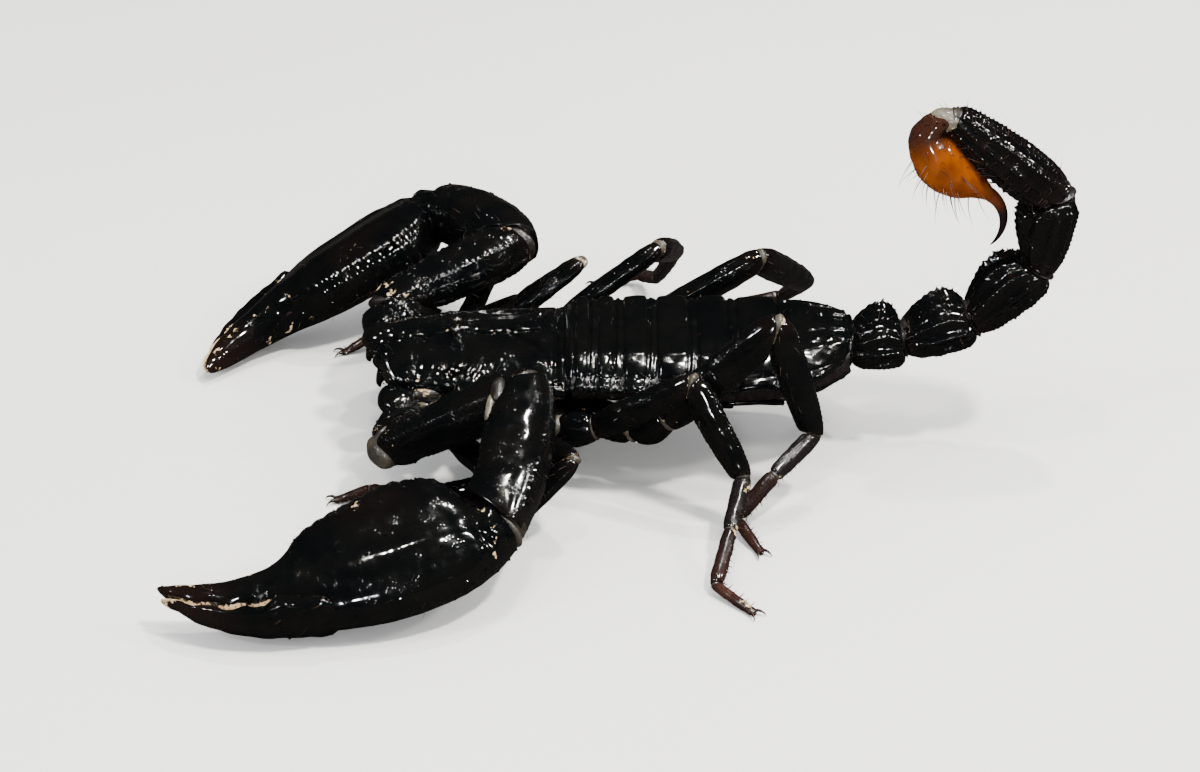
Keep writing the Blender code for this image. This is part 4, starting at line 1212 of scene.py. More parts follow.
# Bulb: (distance along it, upper edge, lower edge, half width)
VESICLE_ROWS = ((1.8, 1.0, -3.8, 2.7), (3.5, 1.0, -4.15, 3.0), (5.1, 1.0, -3.8, 2.8),
                (6.9, 0.9, -2.9, 2.1), (8.2, 0.75, -1.45, 1.2), (9.3, 0.62, -0.72, 0.66))


def tail_segment(i, start, along, length, width, height):
    """Shell with ten toothed keels and hollow faces between them."""
    up = unit(np.cross((1.0, 0, 0), along))
    last = i == len(TAIL) - 1
    rows = LAST_TAIL_ROWS if last else TAIL_ROWS
    t = np.linspace(rows[0][0], rows[-1][0], int(length / 0.13))
    size, arch = follow(rows, t).T
    depth = np.clip(np.minimum(t - t[0], t[-1] - t) * length / 0.35, 0, 1)
    size = size * (0.78 + 0.22 * np.sqrt(1 - (1 - depth) ** 2))
    corners = np.array(TAIL_CORNERS)
    q = np.arange(len(corners) * FACE_POINTS) / FACE_POINTS
    k = q.astype(int)
    part = (q - k)[:, None]
    outline = corners[k] * (1 - part) + corners[(k + 1) % len(corners)] * part
    hollow = 1 - 0.06 * np.sin(math.pi * part[:, 0]) ** 2
    x = np.outer(size * width / 2, outline[:, 0] * hollow)
    z = np.outer(size * height / 2, outline[:, 1] * hollow)
    z = np.where(outline[:, 1] > 0.5, z * arch[:, None], z)
    s = t * length
    fade = span(t, 0.06, 0.2, 0.9, 0.99)
    heights = {1: 0.26, 2: 0.2, 3: 0.14 if i < 2 or last else 0.09, 4: 0.18, 5: 0.17, 6: 0.2 if last else 0}
    for corner in (1, 11, 2, 10, 3, 9, 4, 8, 5, 7, 6):
        upper = corner in UPPER_KEELS
        beads = 0.5 + 0.5 * np.cos(math.tau * s / (0.72 if upper else 0.5) + corner)
        growth = 0.4 + 1.0 * bell(t, 0.66, 0.26) if upper else np.ones_like(t)
        offset = (q - corner + 6) % 12 - 6
        keel = heights[min(corner, 12 - corner)]
        lift = keel * np.outer(fade * (0.45 + 0.55 * beads) * growth, bell(offset, 0, 0.2))
        direction = unit(corners[corner])
        x = x + lift * direction[0]
        z = z + lift * direction[1]
    center = (start + np.outer(s, along))[:, None]
    grid = center + x[..., None] * np.array((1.0, 0, 0)) + z[..., None] * up
    grid = push(grid, 0.05 * ripple(grid, 0.8, 60 + i), unit(grid - center))
    return grid, up, center[:, 0], t


def build_tail():
    joints, along = walk(TAIL_START, LEFT, [row[0] for row in TAIL], [(180, row[3]) for row in TAIL])
    before = -FORWARD
    for i, (length, width, height, _) in enumerate(TAIL):
        last = i == len(TAIL) - 1
        grid, up, line, t = tail_segment(i, joints[i], along[i], length, width, height)
        grid = trim(grid, joints[i], -unit(before + along[i]), along[i])
        if not last:
            grid = trim(grid, joints[i + 1], unit(along[i] + along[i + 1]), along[i])
        # Teeth: larger ones on the four upper keels, grown toward the rear, and even ones below.
        # A row is (corner, first share of length, depth of the foot in the shell, lean, size).
        grown = 0.4 + 0.8 * bell(t, 0.74, 0.22)
        share = 0.75 if last else 1
        rows = [(corner, 0.34, 0.08, 0.55, 0.85 * grown * share) for corner in UPPER_KEELS]
        rows += [(corner, 0.25, 0.08, 0.55, 0.6 * grown * share) for corner in (2, 10)]
        even = np.full_like(t, 0.75 if last else 0.42)
        rows += [(corner, 0.12, 0.06, 0.5, even) for corner in (4, 8, 5, 7) + ((6,) if last else ())]
        for corner, first, sunk, lean, size in rows:
            keep = (t > first) & (t < 0.97)
            foot = grid[keep, corner * FACE_POINTS]
            radial = unit(foot - line[keep])
            SHELL_TEETH.add(foot - sunk * radial, radial + lean * along[i], size[keep])
        pile = Pile()
        tone = 0.01 * i + 0.1 * bell(t, 0.05, 0.12)
        pile.add(grid, soil=0.14 + 0.12 * ripple(grid, 2.0, 70 + i), tone=tone,
                 grit=0.9 if last else 0.35, coat=0.55 if last else 0.12)
        name = "metasoma_%d" % (i + 1)
        settle(name + "_shell", pile, ROUGH_BLACK if last else BLACK, "shell_black", [name], "tail")
        add_sleeve(joints[i], before, along[i], up, LEFT, 0.38 * width, 0.38 * height, 1.0, tone=1.0)
        before = along[i]
    build_sting(joints[-1], along[-1])


def vesicle_point(s, n):
    """A point in the tail's plane, s along the vesicle and n toward its upper side."""
    return VESICLE_START + heading(LEFT, 180, VESICLE_ANGLE) * s + heading(LEFT, 180, VESICLE_ANGLE + 90) * n


def build_sting(tail_end, tail_along):
    sideways = (1.0, 0, 0)
    neck = [(tail_end + tail_along * 0.3 - (0, 0, 0.3), tail_along, 1.2, 0.8),
            (np.array((0, 32.5, 35.25)), heading(LEFT, 180, 200), 1.5, 1.1),
            (vesicle_point(0.0, -1.0), heading(LEFT, 180, 268), 2.0, 1.7)]
    axis = heading(LEFT, 180, VESICLE_ANGLE)
    bulb = [(vesicle_point(s, (top + bottom) / 2), axis, half, (top - bottom) / 2)
            for s, top, bottom, half in VESICLE_ROWS]
    grid = bent([(center, tangent, np.cross(tangent, sideways), width, height)
                 for center, tangent, width, height in neck + bulb], 72, 110)
    for _ in range(BULB_SMOOTHING):
        grid[1:-1] = 0.25 * grid[:-2] + 0.5 * grid[1:-1] + 0.25 * grid[2:]
    t = np.linspace(0, 1, len(grid))[:, None]
    radial = unit(grid - grid.mean(1, keepdims=True))
    # Low rows of knobs run from the dark neck over the bulb's lower side.
    for degrees in (45, 75, 105, 135):
        turned = (np.degrees(around(72)) - degrees + 180) % 360 - 180
        knobs = bell(turned, 0, 8) * (0.5 + 0.5 * np.cos(t * 110)) * span(t, 0.1, 0.2, 0.55, 0.75)
        grid = push(grid, 0.07 * knobs, radial)
    grid = push(grid, 0.05 * ripple(grid, 1.4, 90), radial)
    grid = push(grid, 0.03 * ripple(grid, 0.55, 92) * ramp(t, 0.42, 0.3), radial)
    tone = 1 - ramp(t, 0.2, 0.44) + 0.55 * ramp(t, 0.78, 0.98)
    pile = Pile()
    pile.add(grid, tone=np.clip(tone + 0.12 * ripple(grid, 2.0, 91), 0, 1), grit=0.8 * ramp(t, 0.24, 0.1),
             coat=0.3 + 0.8 * span(t, 0.2, 0.5, 0.8, 0.98), reach=2.1)
    settle("telson_bulb", pile, AMBER, "telson_amber", ["telson"], "tail")
    add_sleeve(tail_end, tail_along, heading(LEFT, 180, 190), np.cross(tail_along, sideways), LEFT,
               1.25, 1.0, 0.6, tone=0.85)
    toward = unit((0, 0.25, 1.0))
    center = tail_end + tail_along * 0.4 - toward * 0.62
    add_bulge(center, toward, (2.05, 1.35, 1.05), 0.28, soil=0.4)

    # The hook is an arc about a hub under the bulb's tip.
    radius, arc, tip_radius, growth = 3.5, 104, 0.05, 0.66
    hub = vesicle_point(9.1, 0.0) + heading(LEFT, 180, VESICLE_ANGLE - 73) * radius
    stations = []
    for t in np.linspace(-0.12, 1, 30):
        angle = VESICLE_ANGLE + 107 - arc * t
        outward = heading(LEFT, 180, angle)
        stations.append((hub + outward * radius, heading(LEFT, 180, angle - 90), outward,
                         growth * (1 - max(t, 0)) ** 0.85 + tip_radius))
    pile = Pile()
    pile.add(bent(stations, 28, 64), tone=ramp(np.linspace(0, 1, 64), 0.12, 0.5))
    settle("sting_hook", pile, STING, "sting_brown", ["aculeus"])


# ---------------------------------------------------------------- claw arms

# (share of length, then the half sizes out, in, up and down)
ARM_ROWS = {
    "trochanter": ((-0.03, 1.7, 1.7, 1.6, 1.6), (0.25, 2.2, 2.2, 2.2, 2.2), (0.65, 2.7, 2.6, 2.7, 2.6),
                   (0.95, 2.4, 2.3, 2.5, 2.3), (1.2, 1.5, 1.5, 1.6, 1.5)),
    "femur": ((-0.08, 1.5, 1.5, 1.5, 1.4), (0.05, 2.1, 2.2, 2.0, 1.9), (0.3, 2.5, 2.5, 2.2, 2.1),
              (0.6, 2.9, 2.8, 2.5, 2.3), (0.88, 3.0, 2.9, 2.6, 2.4), (1.02, 2.5, 2.4, 2.2, 2.0),
              (1.14, 1.3, 1.3, 1.2, 1.2)),
    "patella": ((-0.16, 1.4, 1.4, 1.4, 1.3), (-0.05, 2.6, 2.2, 2.3, 2.2), (0.12, 3.3, 2.7, 2.8, 2.7),
                (0.35, 3.6, 3.2, 3.2, 3.0), (0.62, 3.3, 3.3, 3.3, 3.0), (0.82, 2.6, 4.1, 3.0, 2.7),
                (1.0, 1.8, 4.3, 2.5, 2.2), (1.09, 1.2, 2.6, 1.5, 1.4)),
}
# The trochanter's blunt front lobe: centre and half sizes.
TROCHANTER_LOBES = {LEFT: ((7.2, -19.7, 8.7), (2.3, 1.9, 1.5)), RIGHT: ((-6.9, -22.0, 9.9), (2.1, 1.9, 1.7))}
# Skin inside the four joints: (half width, half height, reach, tone)
ARM_SLEEVES = ((1.7, 1.6, 1.2, 0.5), (2.1, 2.1, 1.7, 1.0), (2.6, 2.2, 1.9, 0.93), (2.3, 2.1, 1.9, 0.82))
# Cushions on the open side of the last three joints: (distance out, half sizes, tone)
OUTER_CUSHIONS = ((0.4, (1.8, 1.5, 1.2), 0.95), (0.55, (1.5, 1.3, 0.9), 0.7))
ARM_CUSHIONS = {LEFT: ((1.15, (1.9, 1.5, 1.35), 0.78), *OUTER_CUSHIONS),
                RIGHT: ((-0.6, (1.9, 1.5, 1.35), 0.9), *OUTER_CUSHIONS)}
# (degrees round the segment, half width in degrees, height, beading)
ARM_KEELS = {
    "trochanter": ((55, 9, 0.14, 0.5), (125, 9, 0.14, 0.5)),
    "femur": ((42, 8, 0.16, 0.62), (138, 8, 0.2, 0.62), (222, 8, 0.16, 0.6), (318, 8, 0.12, 0.6)),
    "patella": ((38, 7, 0.13, 0.8), (150, 8, 0.18, 0.7), (215, 8, 0.15, 0.7), (322, 7, 0.14, 0.8)),
}
CLAW_ROWS = (  # (distance from wrist, outer edge, inner edge, half thickness)
    (-0.8, 2.2, 1.8, 1.7), (1.2, 3.9, 2.2, 2.6), (3.0, 5.0, 2.9, 3.1), (3.9, 5.5, 4.4, 3.3),
    (4.9, 5.9, 5.7, 3.45), (6.8, 6.5, 6.5, 3.7), (9.5, 7.1, 6.6, 3.8), (12.6, 7.4, 5.6, 3.7),
    (15.8, 7.3, 4.3, 3.5), (18.6, 7.1, 2.8, 3.1), (20.8, 7.0, 0.4, 2.75), (22.5, 6.7, -0.5, 2.5),
    (25.7, 5.7, -0.9, 2.05), (29.0, 3.9, -0.5, 1.55), (31.0, 2.0, 0.3, 1.0), (CLAW_LENGTH, 0.6, 0.8, 0.55),
)


def finger_parting(s):
    """Where the two fingers meet, measured outward from the claw's axis."""
    at_start, at_root, hook = 7.0, 4.6, 3.6
    early = at_start + (at_root - at_start) * (s - FINGER_START) / (FINGER_ROOT - FINGER_START)
    late = at_root - hook * (np.maximum(s - FINGER_ROOT, 0) / (CLAW_LENGTH - FINGER_ROOT)) ** 2.0
    wave = np.sin((s - FINGER_ROOT) * math.tau / TOOTH_WAVE)
    wave = 0.2 * wave * span(s, FINGER_ROOT, 24.5, 29.5, 31.5)
    return np.where(s < FINGER_ROOT, early, late) + wave


class ClawRings:
    """Rings round the claw's axis, each from its inner edge (-inner) out to its outer edge (+outer)."""

    def __init__(self, wrist, along, up, side, s, outer, inner, thick, count):
        middle, half = (outer - inner) / 2, (outer + inner) / 2
        point = np.sqrt(np.clip((CLAW_LENGTH + 0.02 - s) / 2.6, 0.004, 1))
        x, self.z = rounded_box(around(count), half * point, half * point, thick, 0.9 * thick, 2.3)
        self.x = x + middle[:, None]
        self.s = s[:, None]
        self.outward, self.upward = frame_at(along, up, side)
        self.line = (wrist + np.outer(s, along))[:, None]

    def rise(self, height, *limits):
        """Lift the surface, between four limits along the claw if they are given."""
        if limits:
            height = height * span(self.s, *limits)
        self.z = self.z + height

    def grid(self):
        return self.line + self.x[..., None] * self.outward + self.z[..., None] * self.upward


def close_tip(share, flat):
    """How full a rounded tip is; 0 at its end and 1 where it has its full size."""
    return flat + (1 - flat) * np.sqrt(1 - (1 - np.clip(share, 0, 1)) ** 2)


def build_hand(side, wrist, along, before, up):
    """The swollen hand with its fixed finger."""
    s = np.linspace(-0.8, CLAW_LENGTH, 250)
    outer, inner, thick = follow(CLAW_ROWS, s).T
    share = ramp(s, FINGER_START - 0.8, FINGER_START + 0.3)
    outer = outer * (1 - share) + np.minimum(outer, finger_parting(s) + 0.15) * share
    # Lobes like small scallops run along the hand's inner edge.
    scallop = 0.2 * np.abs(np.sin(s * math.pi / 1.25)) * span(s, 1.5, 4, 17, 21.5)
    full = thick * close_tip((CLAW_LENGTH - s) / 0.9, 0.35)
    rings = ClawRings(wrist, along, up, side, s, outer, inner + scallop, full, 150)
    x, s = rings.x, rings.s
    top = ramp(rings.z, -0.3, 0.8)
    # A blunt ridge runs from the wrist to the finger joint, with a hollow on each side.
    ridge = 1.2 + (s - 2) * 0.17
    rings.rise(0.12 * bell(x, ridge, 1.3) * top, 0.5, 3, 16.5, 20.5)
    rings.rise(-0.14 * bell(x, ridge + 1.9, 1.0) * top, 2, 5, 16, 20)
    rings.rise(-0.1 * bell(x, ridge - 2.3, 1.4) * top, 3, 7, 12, 17)
    rings.rise(0.045 * np.sin(0.95 * s + 0.8) * top * bell(x, ridge, 2.4) * ramp(s, 4, 7))
    patch = ripple(np.stack((x, 0 * x + s, 0 * x), -1), 0.42, 140)
    rings.rise(0.022 * patch * top * bell(x, ridge, 0.9) * bell(s, 16.4, 1.6))
    # The wrist end is puckered into two bosses.
    rings.rise(0.45 * bell(x, 1.9, 0.9) * bell(s, 1.0, 0.8) * top)
    rings.rise(0.4 * bell(x, -1.2, 0.8) * bell(s, 1.1, 0.8) * top)
    rings.rise(-0.35 * bell(s, 2.3 + 0.4 * np.sin(1.4 * x), 0.5) * top)
    rings.rise(-0.3 * bell(x, 3.4, 0.5) * ramp(-rings.z, 0.3, 1), 2, 4, 15, 19)
    from_outer = outer[:, None] - x
    notches = bell(from_outer, 0, 0.9) * bell(rings.z, 0, 0.6) * (0.6 + 0.4 * np.cos(s * 7))
    rings.x = x = x + 0.2 * notches * span(s, 3, 5, 15, 17)
    grid = rings.grid()
    radial = unit(grid - grid.mean(1, keepdims=True))
    lumps = 0.6 * ripple(grid, 1.3, 120 + side) + 0.4 * ripple(grid, 0.6, 130 + side)
    grid = push(grid, (0.012 + 0.05 * ramp(s, 8, 4)) * lumps * ramp(s, 24, 18), radial)
    grid = trim(grid, wrist, -unit(before + along), along, lens=0.3, outer=unit(before - along + 1e-6))
    from_inner = inner[:, None] + x
    gap_side = 1.6 * bell(from_outer, 0.1, 0.45) * ramp(s, FINGER_ROOT - 3, FINGER_ROOT)
    soil = 0.1 + 0.55 * gap_side + 0.5 * bell(from_inner, 0.5, 0.45) * ramp(s, 17, 21)
    soil = soil + 0.55 * bell(s, 13.2, 1.3) * bell(x, -3.6, 1.4) * top + 0.4 * bell(s, 1.4, 1.2)
    edge = np.clip(bell(from_inner, 0, 1.3) + 0.25 * bell(from_outer, 0, 1.3), 0, 1)
    # Tone paints a faint brown patch in the hand's middle: partly its own tint, partly a painted warm
    # reflection.
    pile = Pile()
    pile.add(grid, soil=soil, tone=0.1 * bell(s, 12, 4) * bell(x, -3.0, 2.0) + 0.3 * ramp(s, 24, 31),
             grit=0.05 + 0.7 * edge * ramp(s, 24, 20) + 0.8 * bell(s, 2, 2.2),
             coat=0.03 + 0.3 * edge * ramp(s, 14, 22) + 0.08 * ramp(s, 22, 26))
    label = SIDE_NAMES[side]
    settle("hand_" + label, pile, BLACK, "shell_black", ["manus_" + label], "arms")
    add_claw_teeth(rings, rings.outward, finger_parting(s) - 0.12, thick, 1)


def build_finger(side, wrist, along, up):
    """The movable finger; its root lies inside the hand and comes out of it along the parting."""
    first, last = 16.4, 32.0
    s = np.linspace(first, last, 140)
    outer, _, thick = follow(CLAW_ROWS, s).T
    hidden = ramp(s, FINGER_ROOT + 0.4, FINGER_ROOT - 1.0)
    inner = finger_parting(s) - 0.2 - 1.4 * hidden
    outer = np.maximum(outer - 0.22 * ramp(s, 18.6, 17.2), inner + 0.6)
    close = close_tip((s - first) / 1.6, 0.2) * close_tip((last - s) / 0.8, 0.4)
    rings = ClawRings(wrist, along, up, side, s, outer, -inner, 0.95 * thick * close, 80)
    x, s = rings.x, rings.s
    center = ((outer + inner) / 2)[:, None]
    rings.rise(0.28 * bell(x, center + 0.5, 0.4) * ramp(rings.z, 0, 0.5), 19.5, 21, 26, 30)
    rings.rise(-0.15 * bell(x, center - 0.4, 0.35) * ramp(rings.z, 0, 0.5), 20, 22, 26, 30)
    grid = rings.grid()
    grid = push(grid, 0.05 * ripple(grid, 1.0, 140 + side), unit(grid - grid.mean(1, keepdims=True)))
    pile = Pile()
    pile.add(grid, soil=0.1 + 1.0 * bell(x - inner[:, None], 0.15, 0.4) + 0.3 * bell(s, 19.4, 1.0),
             tone=0.3 * ramp(s, 24, 31), grit=0.5 * ramp(s, 26, 20), coat=0.12)
    label = SIDE_NAMES[side]
    settle("finger_" + label, pile, BLACK, "shell_black", ["movable_finger_" + label], "arms")
    add_claw_teeth(rings, -rings.outward, finger_parting(s) + 0.17, thick, 2)


def add_claw_teeth(rings, aim, edge, thick, seed):
    """Two uneven rows of blunt teeth where the fingers meet."""
    s = rings.s[:, 0]
    keep = (s > FINGER_ROOT + 0.4) & (s < 31.2)
    big = 0.8 + 0.55 * (np.sin(s[keep] * math.tau / TOOTH_WAVE + seed) > 0.75)
    for level in (1.0, -0.9):
        line = rings.line[keep, 0] + edge[keep] * rings.outward
        line = line + np.outer(level * thick[keep] * 0.6, rings.upward)
        SHELL_TEETH.add(line, aim + 0.35 * level * rings.upward, 0.7 * big)


def trim_first(grid, joints, along, before, **settings):
    """Trim a limb's first segment at its root, where the coxa comes in, and at its next joint."""
    grid = trim(grid, joints[0], -before, along[0])
    normal, outer = unit(along[0] + along[1]), unit(along[0] - along[1])
    return trim(grid, joints[1], normal, along[0], outer=outer, **settings)


def build_arm(side):
    directions = [row[2] if side == LEFT else row[3] for row in ARM]
    joints, along = walk(to_side(side, ARM_HIP), side, [row[1] for row in ARM], directions)
    ups = [heading(side, sweep, rise + 90) for sweep, rise in directions]
    coxa_along = unit(joints[0] - to_side(side, ARM_COXA_ROOT))
    label = SIDE_NAMES[side]
    for i, (part, length, _, _) in enumerate(ARM[:-1]):
        grid = segment(joints[i], along[i], ups[i], side, length, ARM_ROWS[part], 110, 0.13, 2.6,
                       ARM_KEELS[part], 0.6)
        center = grid.mean(1, keepdims=True)
        radial = unit(grid - center)
        t = np.linspace(0, 1, len(grid))[:, None]
        # The patella is smoother, and its inner face carries a blunt tubercle near its base.
        rough = 1.0
        if part == "patella":
            rough = 0.4
            outward, _ = frame_at(along[i], ups[i], side)
            spot = joints[i] + along[i] * length * 0.24 - outward * 3.6
            grid = push(grid, -0.55 * np.exp(-np.sum((grid - spot) ** 2, -1) / 1.1), outward)
        grid = push(grid, 0.06 * rough * ripple(grid, 1.3, 100 + i + side), radial)
        if i == 0:
            grid = trim_first(grid, joints, along, coxa_along, lens=0.6)
        else:
            grid = trim_limb(grid, joints, along, i, 0.8)
        high = ramp(np.sum((grid - center) * ups[i], -1), 0.2, 1.4)
        soil = 0.16 + 0.4 * bell(t, 0.1, 0.12) * high + 0.25 * bell(t, 0.93, 0.08)
        soil = rough * (soil + 0.25 * high * ramp(ripple(grid, 2.5, 7), 0, 1))
        grit = rough * (0.4 + 0.6 * high + 0.4 * bell(t, 0.1, 0.1))
        pile = Pile()
        pile.add(grid, soil=soil, grit=grit, coat=0.12 + 0.08 * high, tone=0.1 * bell(t, 0.95, 0.08))
        if part == "trochanter":
            middle, sizes = TROCHANTER_LOBES[side]
            lobe = ball(middle, sizes, 56, 36)
            lobe = push(lobe, 0.24 * ripple(lobe, 1.9, 105), unit(lobe - np.array(middle)))
            pile.add(lobe, soil=0.24, grit=0.5, coat=0.2)
        name = "%s_%s" % (part, label)
        settle(name + "_shell", pile, ROUGH_BLACK, "shell_black", [name], "arms")
    befores = [coxa_along] + along[:3]
    for i, (width, height, reach, tone) in enumerate(ARM_SLEEVES):
        add_sleeve(joints[i], befores[i], along[i], ups[i], side, width, height, reach, tone, soil=0.3)
    for i, (depth, size, tone) in enumerate(ARM_CUSHIONS[side], 1):
        toward = unit(along[i - 1] - along[i])
        add_bulge(joints[i] + toward * depth, toward, size, tone)
    if side == LEFT:
        # Long folds of skin on the inner side of the elbow, and soft skin between the shield and the arm.
        outward, upward = frame_at(along[2], ups[2], side)
        fold = upward - 0.8 * outward
        for ahead, inward, above, size, tone in ((3.5, 2.5, 1.6, (2.3, 0.5, 0.7), 0.15),
                                                 (1.3, 2.1, 1.9, (1.6, 0.75, 0.7), 1.0)):
            center = joints[2] + along[2] * ahead - outward * inward + upward * above
            add_bulge(center, fold, size, tone, along[2])
        add_bulge((6.9, -16.9, 9.3), (0.875, 0, 0.485), (1.8, 0.6, 0.6), 0.97, (0, 1, 0.1), soil=0.6)
    # The claw hangs from the wrist at its own roll, turned about the arm's last direction.
    roll = math.radians(side * CLAW_ROLL[side])
    axis, up = -along[3], ups[3]
    turned = up * math.cos(roll) + np.cross(axis, up) * math.sin(roll)
    turned = turned + axis * np.dot(axis, up) * (1 - math.cos(roll))
    build_hand(side, joints[3], along[3], along[2], turned)
    build_finger(side, joints[3], along[3], turned)


# ---------------------------------------------------------------- legs

LEG_WIDTH_SHARES = (0.9, 0.7, 0.72, 0.85, 0.95, 0.95)
# Segments from the trochanter to the last tarsus.  A row is (share of length, sizes as shares of the half
# width and depth); skin is the tone of the joint skin before the segment.
LEG_PARTS = (
    dict(owner="femur", count=48, step=0.2, coat=0.1, reach=0.8, skin=0.35,
         keels=((90, 12, 0.08, 0.5),),
         rows=((-0.08, 0.65, 0.65, 0.7, 0.7), (0.15, 1.0, 1.0, 1.08, 1.05), (0.45, 1.2, 1.2, 1.28, 1.2),
               (0.8, 1.05, 1.05, 1.05, 1.0), (1.1, 0.65, 0.7))),
    dict(owner="femur", count=64, step=0.17, coat=0.16, reach=0.9, skin=0.75,
         keels=((72, 9, 0.1, 0.42), (108, 9, 0.1, 0.42), (250, 9, 0.13, 0.42), (290, 9, 0.13, 0.42),
                (0, 10, 0.07, 0)),
         rows=((-0.05, 0.7, 0.7, 0.62, 0.7), (0.08, 0.9, 0.9, 0.85, 0.9), (0.3, 1), (0.72, 1, 1, 0.95, 0.97),
               (0.93, 0.92, 0.85), (1.05, 0.65, 0.6))),
    dict(owner="patella", count=64, step=0.17, coat=0.22, reach=0.9, skin=0.6,
         keels=((60, 9, 0.1, 0.5), (120, 9, 0.1, 0.5), (255, 9, 0.1, 0.5), (290, 9, 0.1, 0.5)),
         rows=((-0.06, 0.7, 0.62), (0.1, 1, 0.98), (0.3, 1.02, 1.02, 1.02, 1.0), (0.65, 0.95, 0.92),
               (0.92, 0.85, 0.74), (1.05, 0.6, 0.5))),
    dict(owner="foot", count=44, step=0.2, coat=0.55, reach=0.85, skin=0.7, tone=0.95,
         spines=(0.35, 0.98), spine_size=0.55, keels=((90, 10, 0.06, 0), (270, 10, 0.06, 0.4)),
         rows=((-0.1, 0.65), (0.15, 1), (0.8, 0.92), (1.02, 0.7))),
    dict(owner="foot", count=36, step=0.22, coat=0.9, reach=0.75, skin=0.8, tone=0.65,
         spines=(0.35, 0.98), spine_size=0.8, keels=((255, 12, 0.06, 0.4), (285, 12, 0.06, 0.4)),
         rows=((-0.08, 0.7), (0.12, 0.95), (0.8, 1), (1.02, 0.75))),
    dict(owner="foot", count=36, step=0.2, coat=0.9, reach=0.6, skin=0.85, tone=0.1,
         spines=(0.15, 0.98), spine_size=0.7, keels=((90, 14, 0.05, 0),),
         rows=((-0.08, 0.7), (0.15, 0.92), (0.75, 0.88, 0.88, 0.82, 0.86), (1.08, 0.45, 0.45, 0.4, 0.5))),
)


def leg_walk(side, number):
    """Joints and directions of a leg; the last tarsus drops just far enough to stand on the floor."""
    lengths, directions = LEG_LENGTHS[number], LEG_DIRECTIONS[side][number]
    start = to_side(side, LEG_HIPS[number])
    ankle = walk(start, side, lengths[:5], directions[:5])[0][-1]
    sweep = directions[5][0]
    drop = -math.degrees(math.asin((ankle[2] - FOOT_HEIGHT) / lengths[5]))
    return *walk(start, side, lengths, directions[:5] + ((sweep, drop),)), sweep


def build_leg(side, number):
    joints, along, sweep = leg_walk(side, number)
    coxa_along = unit(joints[0] - to_side(side, COXA_ROOTS[number]))
    befores = [coxa_along] + along[:-1]
    hinge = unit(np.cross(along[1], along[2]))
    ups = [unit(np.cross(hinge, direction)) for direction in along]
    depths = [depth / 2 for depth in LEG_DEPTHS[number]]
    widths = [share * depth for share, depth in zip(LEG_WIDTH_SHARES, depths)]
    widths[0] = max(0.75 * depths[0], widths[1])
    groups = {"femur": Pile(), "patella": Pile(), "foot": Pile()}
    for i, part in enumerate(LEG_PARTS):
        in_foot = part["owner"] == "foot"
        half_sizes = four((widths[i], depths[i]))
        rows = [(share, *four(sizes) * half_sizes) for share, *sizes in part["rows"]]
        grid = segment(joints[i], along[i], ups[i], side, LEG_LENGTHS[number][i], rows, part["count"],
                       part["step"], 2.05, part["keels"], 0.5)
        center = grid.mean(1, keepdims=True)
        lumps = 0.035 * ripple(grid, 0.9, 200 + 10 * number + i + side)
        grid = push(grid, lumps, unit(grid - center))
        if i == 0:
            grid = trim_first(grid, joints, along, coxa_along, gap=0.06, lens=0.1)
        else:
            grid = trim_limb(grid, joints, along, i, 0.3 if i < 4 else 0.15, 0.16)
        t = np.linspace(0, 1, len(grid))[:, None]
        ends = bell(t, 0.05, 0.08) + bell(t, 0.95, 0.08)
        flecks = ramp(ripple(grid, 1.6, 300 + number + i), 0.1, 0.9)
        if in_foot:
            lower = ramp(-np.sum((grid - center) * ups[i], -1), -0.1, 0.4)
            soil, tone = 0.14 + 0.55 * lower * flecks + 0.3 * ends, part["tone"]
        else:
            soil, tone = 0.1 + 0.22 * ends + 0.22 * flecks, 0.1 * ends
        groups[part["owner"]].add(grid, soil=soil, tone=tone, coat=part["coat"],
                                  grit=0.1 if in_foot else 0.35, reach=part["reach"])
        shrink, behind = 0.84 if i < 4 else 0.8, max(i - 1, 0)
        add_sleeve(joints[i], befores[i], along[i], ups[i], side, shrink * min(widths[i], widths[behind]),
                   shrink * min(depths[i], depths[behind]), 0.75 * depths[i] + 0.2,
                   tone=part["skin"], folds=3, soil=0.55 if i == 2 else 0.2)
        if in_foot:
            way = np.linspace(*part["spines"], 12)
            for turn in (-0.5, 0.5):
                low = -ups[i] * depths[i] * 0.8 + hinge * turn * widths[i]
                line = joints[i] + np.outer(way, along[i] * LEG_LENGTHS[number][i]) + low
                FOOT_SPINES.add(line, -ups[i] + 0.55 * along[i] + 0.5 * turn * hinge, part["spine_size"])
    hip_size = np.array((0.85, 0.75, 0.68)) * depths[0]
    add_bulge(joints[0] + UP * 0.3 * depths[0], UP, hip_size, 0.5)
    if number == 1:
        center = joints[0] + to_side(side, (0.5, 0.8, 1.15))
        add_bulge(center, to_side(side, (0.3, 0, 1.0)), (2.3, 1.4, 1.0), 0.9, soil=0.5)
    knee, knee_size = unit(along[1] - along[2]), np.array((0.5, 0.42, 0.42)) * depths[1]
    add_bulge(joints[2] + knee * 0.12 * depths[1], knee, knee_size, 0.7, soil=0.8)
    add_foot(groups["foot"], joints[-1], side, sweep, along[-1])
    label = SIDE_NAMES[side]
    for part, pile in groups.items():
        name = "leg_%s_%d_%s" % (label, number + 1, part)
        finish, slot = (TARSUS, "tarsus_brown") if part == "foot" else (BLACK, "shell_black")
        settle(name + "_shell", pile, finish, slot, [name], "legs_" + label)


